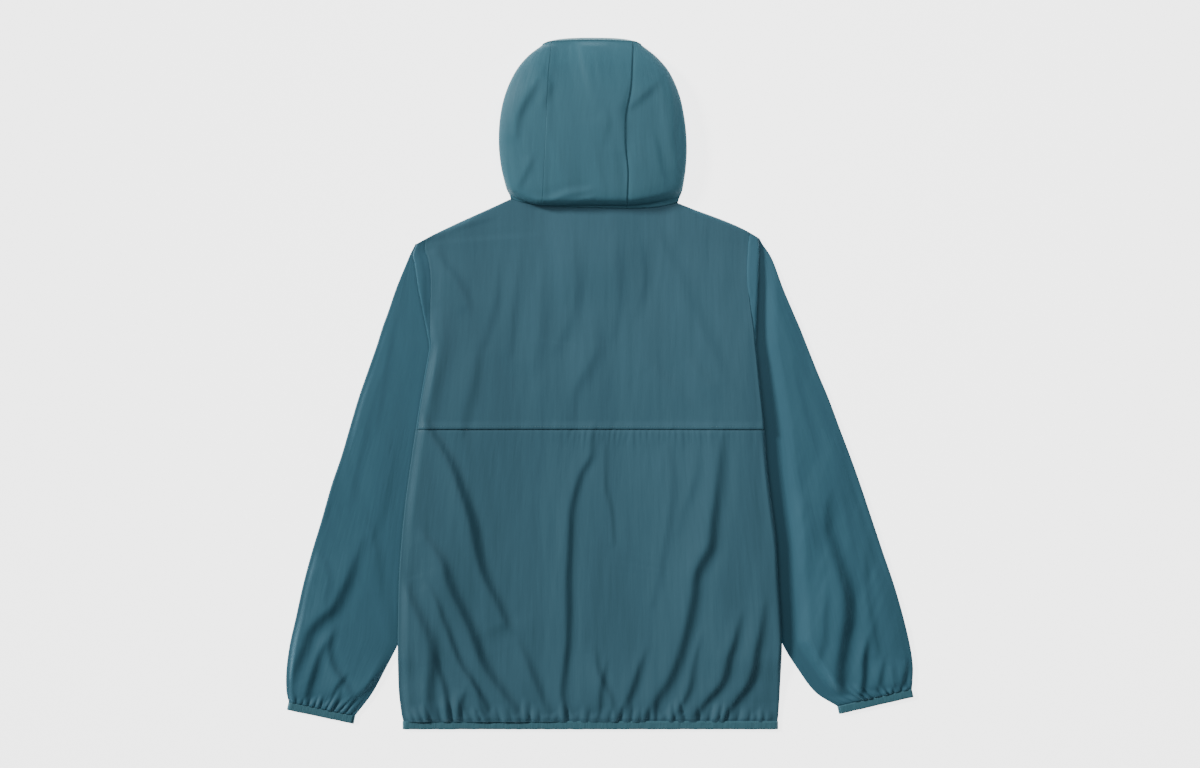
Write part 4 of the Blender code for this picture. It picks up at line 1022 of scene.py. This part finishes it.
def make_hood_side(side, material):
    over, roll, floor_run = 56, 14, 24
    on_floor = FLOOR + 0.05

    def place(c, r):
        v = r / HOOD_ROWS
        first = (c == 0) * fade(v, 0, 0.05)
        c = max(c - 1, 0)
        rounded = fade(v, 0, 0.2)
        seam, out, edge = seam_point(side, v), outline_point(side, v), edge_point(side, v)
        if c <= over:
            angle = math.pi / 2 * c / over
            across = mix(c / over, math.sin(angle), rounded)
            x = mix(seam[0] + side * SEAM / 2, out[0], across)
            y = mix(seam[1], out[1], across ** 1.5)
            z = mix(out[2], seam[2], math.cos(angle))
            foot_y, foot_z = neck_foot(x, v)
            start_z = mix(foot_z, out[2], (c / over) ** 3)
            free = past_stand(v)
            y, z = mix(foot_y, y, mix(free, 1, (c / over) ** 8)), mix(start_z, z, free)
            near_seam = math.cos(angle) ** 0.5
            if side == LEFT:
                step, x, turned_in = 0.9, x + SEAM_LAP * first, 0.0
            else:
                step, turned_in = -0.7 * fade(np.abs(x - seam[0]), 7, 0), SEAM_TURN * first
            return x, y, z + step * near_seam * hood_calm(v) - turned_in, near_seam * hood_calm(v)
        k = c - over
        share = k / (roll + floor_run)
        near_x, near_y = neckline(side, share)
        near_x, near_y = near_x - side * SEAM * (1 - share), near_y + SEAM
        length = np.hypot(edge[0] - out[0], edge[1] - out[1])
        foot_x = out[0] - side * np.minimum(14, length / 2)
        foot_y = out[1] - np.minimum(4, length / 4) - 8 * fade(v, 0.1, 0)
        if k <= roll:
            angle = math.pi / 2 * k / roll
            inward = 1 - math.cos(angle)
            x, y = mix(out[0], foot_x, inward), mix(out[1], foot_y, inward)
            low = mix(on_floor, edge[2], 0.4 * fade(v, 0.8, 1))
            down = mix(1 - (1 - math.sin(angle)) ** 3, math.sin(angle), rounded)
            z = mix(out[2], low, down)
        else:
            run = (k - roll) / floor_run
            x, y = mix(foot_x, edge[0], run), mix(foot_y, edge[1], run)
            low = on_floor + zip_raise(x, y)
            z = mix(low, np.maximum(edge[2], low), mix(0.4, 1.0, run))
        corner = (1 - fade(v, 0, 0.03)) * (k > 0)
        low = on_floor + zip_raise(near_x, near_y)
        return mix(x, near_x, corner), mix(y, near_y, corner), mix(z, low, corner), 0.0

    cloth = Sheet().add(over + roll + floor_run + 1, HOOD_ROWS, place, hood_dress)
    return cloth.finish("hood_side_%s_cloth" % column(side), material)


# ---- bindings -------------------------------------------------------------------------------
BINDING_WALL = 2.0
BINDING_LAP = -0.6            # bindings start this far inside the cloth's end
BINDING_FOOT, BINDING_TOP = BAND / 2, HEM_BACK_Z  # heights of a binding's two layers
HALF_TURN = np.linspace(0, math.pi, 9)
FOREHEAD_DROP = -0.78         # how steeply the hood's edge binding turns down at the forehead


def band(name, path, material, pinch, closed=False, gap=BINDING_LAP, width=BINDING_WIDTH):
    """A folded band along a path of (point, direction across) pairs, a little gathered."""
    width_rows = 6
    points = np.array([p for p, _ in path])
    across = np.array([a / np.linalg.norm(a) for _, a in path])

    def place(c, r):
        i = c % len(path)
        run = mix(gap, SEAM + width, r / width_rows)
        scallop = pinch * ripple(np.array([c * 1.0]), np.array([0.0]), 3.0, 1, 201)[0]
        wave = pinch * ripple(c + 0 * r, r, 2.0, 2.5, 203)
        swell = 0.25 * np.sin(np.pi * r / width_rows)
        x, y, z = (points[i][k] + across[i][k] * (run + scallop * r / width_rows) for k in range(3))
        return x, y, z + wave + swell * (z > 2)

    cloth = Sheet().add(len(path) - (not closed), width_rows, place)
    return cloth.finish(name, material, BINDING_WALL * MM)


def even(points, spacing):
    """The same path with points a small even distance apart."""
    points = np.array(points, float)
    length = np.concatenate([[0], np.cumsum(np.linalg.norm(np.diff(points[:, :3], axis=0), axis=1))])
    count = max(2, int(length[-1] / spacing))
    where = np.linspace(0, length[-1], count)
    return np.stack([np.interp(where, length, points[:, k]) for k in range(points.shape[1])], axis=1)


def make_hem_binding(material):
    radius = (BINDING_TOP - BINDING_FOOT) / 2
    left, right = edge_x(LEFT, HEM_Y) + radius, edge_x(RIGHT, HEM_Y) - radius
    turns = [(radius * math.sin(a), radius * (1 - math.cos(a))) for a in HALF_TURN]
    route = [(ZIP_X + LEFT * ZIP_HALF, BINDING_FOOT)]
    route += [(left - out, BINDING_FOOT + up) for out, up in turns]
    route += [(right + out, BINDING_TOP - up) for out, up in turns]
    route += [(ZIP_X + RIGHT * ZIP_HALF, BINDING_FOOT)]
    path = even([(x, HEM_Y, z) for x, z in route], 2.5)
    down = np.array((0.0, -1.0, 0.0))
    return band("hem_binding_cloth", [(p, down) for p in path], material, pinch=0.22)


def make_cuff_binding(side, material):
    name = column(side)
    inner, outer = (np.array([SLEEVE.at(name + end, 1.0), SLEEVE.at(name + end + "_y", 1.0)])
                    for end in ("_in", "_out"))
    run = (outer - inner) / np.linalg.norm(outer - inner)
    across = np.array([run[1], -run[0], 0.0]) * side
    radius = (BINDING_TOP - BINDING_FOOT) / 2
    start, end = inner + run * radius, outer - run * radius
    turns = [(run * radius * math.sin(a), radius * (1 - math.cos(a))) for a in HALF_TURN]
    route = [(*start, BINDING_TOP)]
    route += [(*(end + out), BINDING_TOP - down) for out, down in turns]
    route += [(*(start - out), BINDING_FOOT + up) for out, up in turns]
    path = [(p, across) for p in even(route, 2.2)[:-1]]
    return band("cuff_binding_%s_cloth" % name, path, material, pinch=0.2, closed=True)


def make_hood_binding(material):
    """Round the face opening, from the chin over the forehead and back to the chin."""

    def side_run(side):
        points = []
        for v in np.linspace(0.17, 0.97, 60):
            x, y, z = edge_point(side, v)
            points.append(((x, y + 3 * float(v < 0.18), max(z, BINDING_FOOT)), (-side, 0, 0)))
        for angle in np.linspace(math.pi / 2, 0.2, 8):
            points.append((hood_turn(side, 1.0, angle), (0, 0.12, FOREHEAD_DROP)))
        return points

    left, right = seam_point(LEFT, 1.0), seam_point(RIGHT, 1.0)
    top = []
    for u in np.linspace(0, 1, 41):
        y = mix(left[1], right[1], u) + 4 * u * (1 - u) * HOOD_TOP_BOW
        outwards = mix(0.45, 0.12, (2 * u - 1) ** 4)
        top.append(((mix(left[0], right[0], u), y, left[2]), (0, outwards, FOREHEAD_DROP)))
    path = side_run(LEFT) + top + side_run(RIGHT)[::-1]
    path = [(np.array(p, float), np.array(a, float)) for p, a in path]
    return band("hood_edge_binding_cloth", path, material, pinch=0.12, gap=-0.4, width=6.7)


# ---- zip ------------------------------------------------------------------------------------
ZIP_FOOT_Y = HEM_Y - BINDING_WIDTH
TAPE_TOP_Y = CHIN_Y + 1
CHAIN_TOP_Y = 200.0
TOOTH_STEP = 2.6
TOOTH = (2.5, 1.15, 1.5)      # width, length, height
TOOTH_BEVEL = 0.22
TAPE_WALL = 0.7
TAPE_INNER = 2.3              # from the zip's middle to a tape
TAPE_PARTING = 2.1            # how far the tapes part above the slider


def make_zip_tape(side, material):
    rows, columns = 150, 6

    def place(c, r):
        y = mix(TAPE_TOP_Y, ZIP_FOOT_Y, (1 - r / rows))
        inner = TAPE_INNER + TAPE_PARTING * fade(y, 180, 188)
        x = ZIP_X + side * mix(inner, ZIP_HALF - SEAM, c / columns)
        return x, y, FLOOR + zip_raise(ZIP_X, y) + 0 * x

    cloth = Sheet().add(columns, rows, place)
    return cloth.finish("zip_tape_%s_cloth" % column(side), material, TAPE_WALL * MM)


def make_teeth(material):
    """Interlocked moulded teeth, each a small block with rounded edges."""
    mesh = bmesh.new()
    foot = ZIP_FOOT_Y + 2
    for k in range(int((CHAIN_TOP_Y - foot) / TOOTH_STEP)):
        y = foot + k * TOOTH_STEP
        height = 0.95 + float(zip_raise(np.float64(ZIP_X), np.float64(y)))
        for side in SIDES:
            for v in bmesh.ops.create_cube(mesh, size=1.0)["verts"]:
                narrow = 0.7 if side * v.co.x < 0 else 1.0
                v.co = Vector((ZIP_X + side * 0.75 + v.co.x * TOOTH[0],
                               y + side * TOOTH_STEP / 4 + v.co.y * TOOTH[1] * narrow,
                               height + v.co.z * TOOTH[2])) * MM
    bmesh.ops.bevel(mesh, geom=mesh.edges, offset=TOOTH_BEVEL * MM, segments=1, profile=0.5,
                    affect="EDGES", material=-1)
    return as_object(mesh, "zip_teeth", material)


# ---- stitches -------------------------------------------------------------------------------
STITCH_STEP = 3.6
STITCH = (2.6, 0.5, 0.42)     # length, width, height
STITCH_TAPER = 0.55           # length of its top, as a share
YOKE_STITCHES_Y = YOKE_SEAM_Y + 3.0
HEM_STITCHES_Y, HEM_STITCHES_Z = HEM_Y - 2.6, HEM_BACK_Z + 1.1
STITCH_SAMPLE = 2.0           # distance between the points of a line of stitches


def stitch_rows(name, lines, material):
    """Small rounded stitches along lines of points on the cloth."""
    mesh = bmesh.new()
    for line in lines:
        points = even(line, STITCH_STEP)
        for a, b in zip(points[:-1], points[1:]):
            run = (b - a) / np.linalg.norm(b - a)
            across = np.cross(run, (0, 0, 1.0))
            across /= np.linalg.norm(across)
            up = np.cross(across, run)
            for v in bmesh.ops.create_cube(mesh, size=1.0)["verts"]:
                length = STITCH[0] * (STITCH_TAPER if v.co.z > 0 else 1.0)
                v.co = Vector(a + run * (v.co.x * length) + across * (v.co.y * STITCH[1])
                              + up * (v.co.z * STITCH[2])) * MM
    return as_object(mesh, name, material)


# ---- stage ----------------------------------------------------------------------------------
SENSOR = 36.0
FRAME_WIDTH = 1200 * 1.35 * MM  # metres across the whole picture, at the surface
FLOOR_Z = -0.0002             # metres
FLOOR_GLOW = 3.2
SKY_STRENGTH = 0.14


def add_floor():
    mesh = bmesh.new()
    bmesh.ops.create_grid(mesh, x_segments=1, y_segments=1, size=6.0)
    bmesh.ops.translate(mesh, verts=mesh.verts, vec=(0, 0, FLOOR_Z))
    finish = Finish("pale floor", roughness=0.9, specular=0.0)
    finish.shader.inputs["Base Color"].default_value = (0.9, 0.9, 0.9, 1)
    finish.shader.inputs["Emission Color"].default_value = (1, 1, 1, 1)
    finish.shader.inputs["Emission Strength"].default_value = FLOOR_GLOW
    as_object(mesh, "floor", finish.material)


def add_light(name, kind, place, power, colour, size):
    """A soft light aimed at the middle; size is an angle for a sun and a side for an area."""
    lamp = bpy.data.lights.new(name, kind)
    setattr(lamp, "angle" if kind == "SUN" else "size", size)
    lamp.energy = power
    lamp.color = colour
    light = bpy.data.objects.new(name, lamp)
    light.location = place
    light.rotation_euler = (-Vector(place)).to_track_quat("-Z", "Y").to_euler()
    bpy.context.scene.collection.objects.link(light)


# ---- settings and operators -----------------------------------------------------------------
class JacketLooks(bpy.types.PropertyGroup):
    thickness: bpy.props.FloatProperty(
        name="Cloth thickness", description="Wall of each shown cloth shell",
        default=0.0005, min=0.0002, max=0.002, subtype="DISTANCE", unit="LENGTH")
    # Body, hood and sleeves are one cloth. Their three colours are painted light and shade: the hood is
    # lightest and the body darkest, each set to how brightly that part is lit.
    body_colour: bpy.props.FloatVectorProperty(
        name="Body colour", description="Colour of back and fronts",
        default=(0.042, 0.113, 0.153), size=3, subtype="COLOR")
    hood_colour: bpy.props.FloatVectorProperty(
        name="Hood colour", description="Colour of the hood's panels",
        default=(0.047, 0.134, 0.176), size=3, subtype="COLOR")
    sleeve_colour: bpy.props.FloatVectorProperty(
        name="Sleeve colour", description="Colour of the sleeves",
        default=(0.040, 0.121, 0.168), size=3, subtype="COLOR")
    binding_colour: bpy.props.FloatVectorProperty(
        name="Binding colour", description="Colour of bindings and thread",
        default=(0.042, 0.138, 0.178), size=3, subtype="COLOR")
    zip_colour: bpy.props.FloatVectorProperty(
        name="Zip colour", description="Colour of tapes, teeth, slider and pull",
        default=(0.030, 0.090, 0.115), size=3, subtype="COLOR")


class JacketStage(bpy.types.PropertyGroup):
    camera_height: bpy.props.FloatProperty(
        name="Camera height", description="Height above the surface",
        default=4.0, subtype="DISTANCE", unit="LENGTH")
    key_power: bpy.props.FloatProperty(
        name="Key light", description="Strength of the low side light", default=3.5)
    fill_power: bpy.props.FloatProperty(
        name="Fill light", description="Strength of the overhead light", default=5.6)


class JACKET_OT_back(bpy.types.Operator):
    """Yoke and lower back"""
    bl_idname = "jacket.back"
    bl_label = "Back"

    def execute(self, context):
        material = shared(cloth_finish, "body cloth", context.scene.jacket_looks.body_colour)
        yoke = put(make_yoke(material), "body_cloth", "back_yoke")
        lower = put(make_lower_back(material), "body_cloth", "back_lower")
        return {"FINISHED"}


class JACKET_OT_fronts(bpy.types.Operator):
    """Left and right front"""
    bl_idname = "jacket.fronts"
    bl_label = "Fronts"

    def execute(self, context):
        material = shared(cloth_finish, "body cloth", context.scene.jacket_looks.body_colour)
        for side in SIDES:
            front = put(make_front(side, material), "body_cloth", "front_" + column(side))
        return {"FINISHED"}


class JACKET_OT_sleeves(bpy.types.Operator):
    """Left and right sleeve"""
    bl_idname = "jacket.sleeves"
    bl_label = "Sleeves"

    def execute(self, context):
        material = shared(cloth_finish, "sleeve cloth", context.scene.jacket_looks.sleeve_colour)
        for side in SIDES:
            sleeve = put(make_sleeve(side, material), "sleeve_cloth", "sleeve_" + column(side))
        return {"FINISHED"}


class JACKET_OT_hood(bpy.types.Operator):
    """Three hood panels"""
    bl_idname = "jacket.hood"
    bl_label = "Hood"

    def execute(self, context):
        material = shared(cloth_finish, "hood cloth", context.scene.jacket_looks.hood_colour)
        centre = put(make_hood_centre(material), "hood_cloth", "hood_centre")
        for side in SIDES:
            panel = put(make_hood_side(side, material), "hood_cloth", "hood_side_" + column(side))
        return {"FINISHED"}


class JACKET_OT_bindings(bpy.types.Operator):
    """Hem, cuff and hood edge bindings"""
    bl_idname = "jacket.bindings"
    bl_label = "Bindings"

    def execute(self, context):
        material = shared(binding_finish, "stretch binding", context.scene.jacket_looks.binding_colour)
        hem = put(make_hem_binding(material), "stretch_binding", "hem_binding")
        for side in SIDES:
            cuff = put(make_cuff_binding(side, material), "stretch_binding", "cuff_binding_" + column(side))
        hood = put(make_hood_binding(material), "stretch_binding", "hood_edge_binding")
        return {"FINISHED"}


class JACKET_OT_zip(bpy.types.Operator):
    """Zip tapes, teeth, slider and pull"""
    bl_idname = "jacket.zip"
    bl_label = "Zip"

    def execute(self, context):
        looks = context.scene.jacket_looks
        tape = shared(tape_finish, "zip tape", looks.zip_colour)
        plastic = shared(plastic_finish, "zip plastic", looks.zip_colour)
        for side in SIDES:
            strip = put(make_zip_tape(side, tape), "zip_tape", "zip_tape_" + column(side))
        put(make_teeth(plastic), "zip_plastic", "zip_chain")
        for node in ("zip_slider", "zip_pull"):
            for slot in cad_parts[node].material_slots:
                slot.material = plastic
        return {"FINISHED"}


class JACKET_OT_stitches(bpy.types.Operator):
    """Rows of stitches along the seams that carry them"""
    bl_idname = "jacket.stitches"
    bl_label = "Stitches"

    def execute(self, context):
        thread = shared(thread_finish, "thread", context.scene.jacket_looks.binding_colour)
        half = context.scene.jacket_looks.thickness / MM / 2
        x = np.arange(-238.0, 214.0, STITCH_SAMPLE)
        y = np.full_like(x, YOKE_STITCHES_Y)
        yoke = np.stack([x, y, back_base_z(x, y) + back_dress(x, y) + YOKE_ROLL + half], axis=1)
        x = np.arange(edge_x(LEFT, HEM_Y) + 4, edge_x(RIGHT, HEM_Y) - 4, STITCH_SAMPLE)
        hem = np.stack([x, x * 0 + HEM_STITCHES_Y, x * 0 + HEM_STITCHES_Z], axis=1)
        put(stitch_rows("seam_stitches", [yoke, hem], thread), "body_cloth")
        return {"FINISHED"}


class JACKET_OT_stage(bpy.types.Operator):
    """Pale floor, soft light and the camera straight above"""
    bl_idname = "jacket.stage"
    bl_label = "Stage"

    def execute(self, context):
        stage = context.scene.jacket_stage
        add_floor()
        add_light("key", "SUN", (-2.6, 1.25, 1.6), stage.key_power, (1.0, 0.985, 0.96), 0.2)
        add_light("fill", "AREA", (0.05, 0.4, 1.0), stage.fill_power, (0.95, 0.98, 1.0), 0.8)
        world = bpy.data.worlds.new("studio")
        context.scene.world = world
        world.use_nodes = True
        sky = world.node_tree.nodes["Background"].inputs
        sky["Color"].default_value = (0.93, 0.97, 1.0, 1)
        sky["Strength"].default_value = SKY_STRENGTH
        camera = bpy.data.objects.new("camera", bpy.data.cameras.new("camera"))
        context.scene.collection.objects.link(camera)
        camera.data.sensor_width = SENSOR
        camera.data.lens = SENSOR * stage.camera_height / FRAME_WIDTH
        camera.data.clip_end = 50
        camera.location = (0, 0, stage.camera_height)
        context.scene.camera = camera
        return {"FINISHED"}


STEPS = (JACKET_OT_back, JACKET_OT_fronts, JACKET_OT_sleeves, JACKET_OT_hood, JACKET_OT_bindings,
         JACKET_OT_zip, JACKET_OT_stitches, JACKET_OT_stage)


class JACKET_PT_panel(bpy.types.Panel):
    """Settings and steps of the jacket"""
    bl_idname = "JACKET_PT_panel"
    bl_label = "Sun jacket"
    bl_space_type = "VIEW_3D"
    bl_region_type = "UI"
    bl_category = "Jacket"

    def draw(self, context):
        for group in (context.scene.jacket_looks, context.scene.jacket_stage):
            for name in group.bl_rna.properties.keys():
                if name not in ("rna_type", "name"):
                    self.layout.prop(group, name)
        for step in STEPS:
            self.layout.operator(step.bl_idname)


CLASSES = (JacketLooks, JacketStage, *STEPS, JACKET_PT_panel)


def register():
    for each in CLASSES:
        bpy.utils.register_class(each)
    bpy.types.Scene.jacket_looks = bpy.props.PointerProperty(type=JacketLooks)
    bpy.types.Scene.jacket_stage = bpy.props.PointerProperty(type=JacketStage)


def unregister():
    del bpy.types.Scene.jacket_stage
    del bpy.types.Scene.jacket_looks
    for each in reversed(CLASSES):
        bpy.utils.unregister_class(each)


def main():
    register()
    for step in STEPS:
        group, name = step.bl_idname.split(".")
        getattr(getattr(bpy.ops, group), name)()


if __name__ == "__main__":
    main()
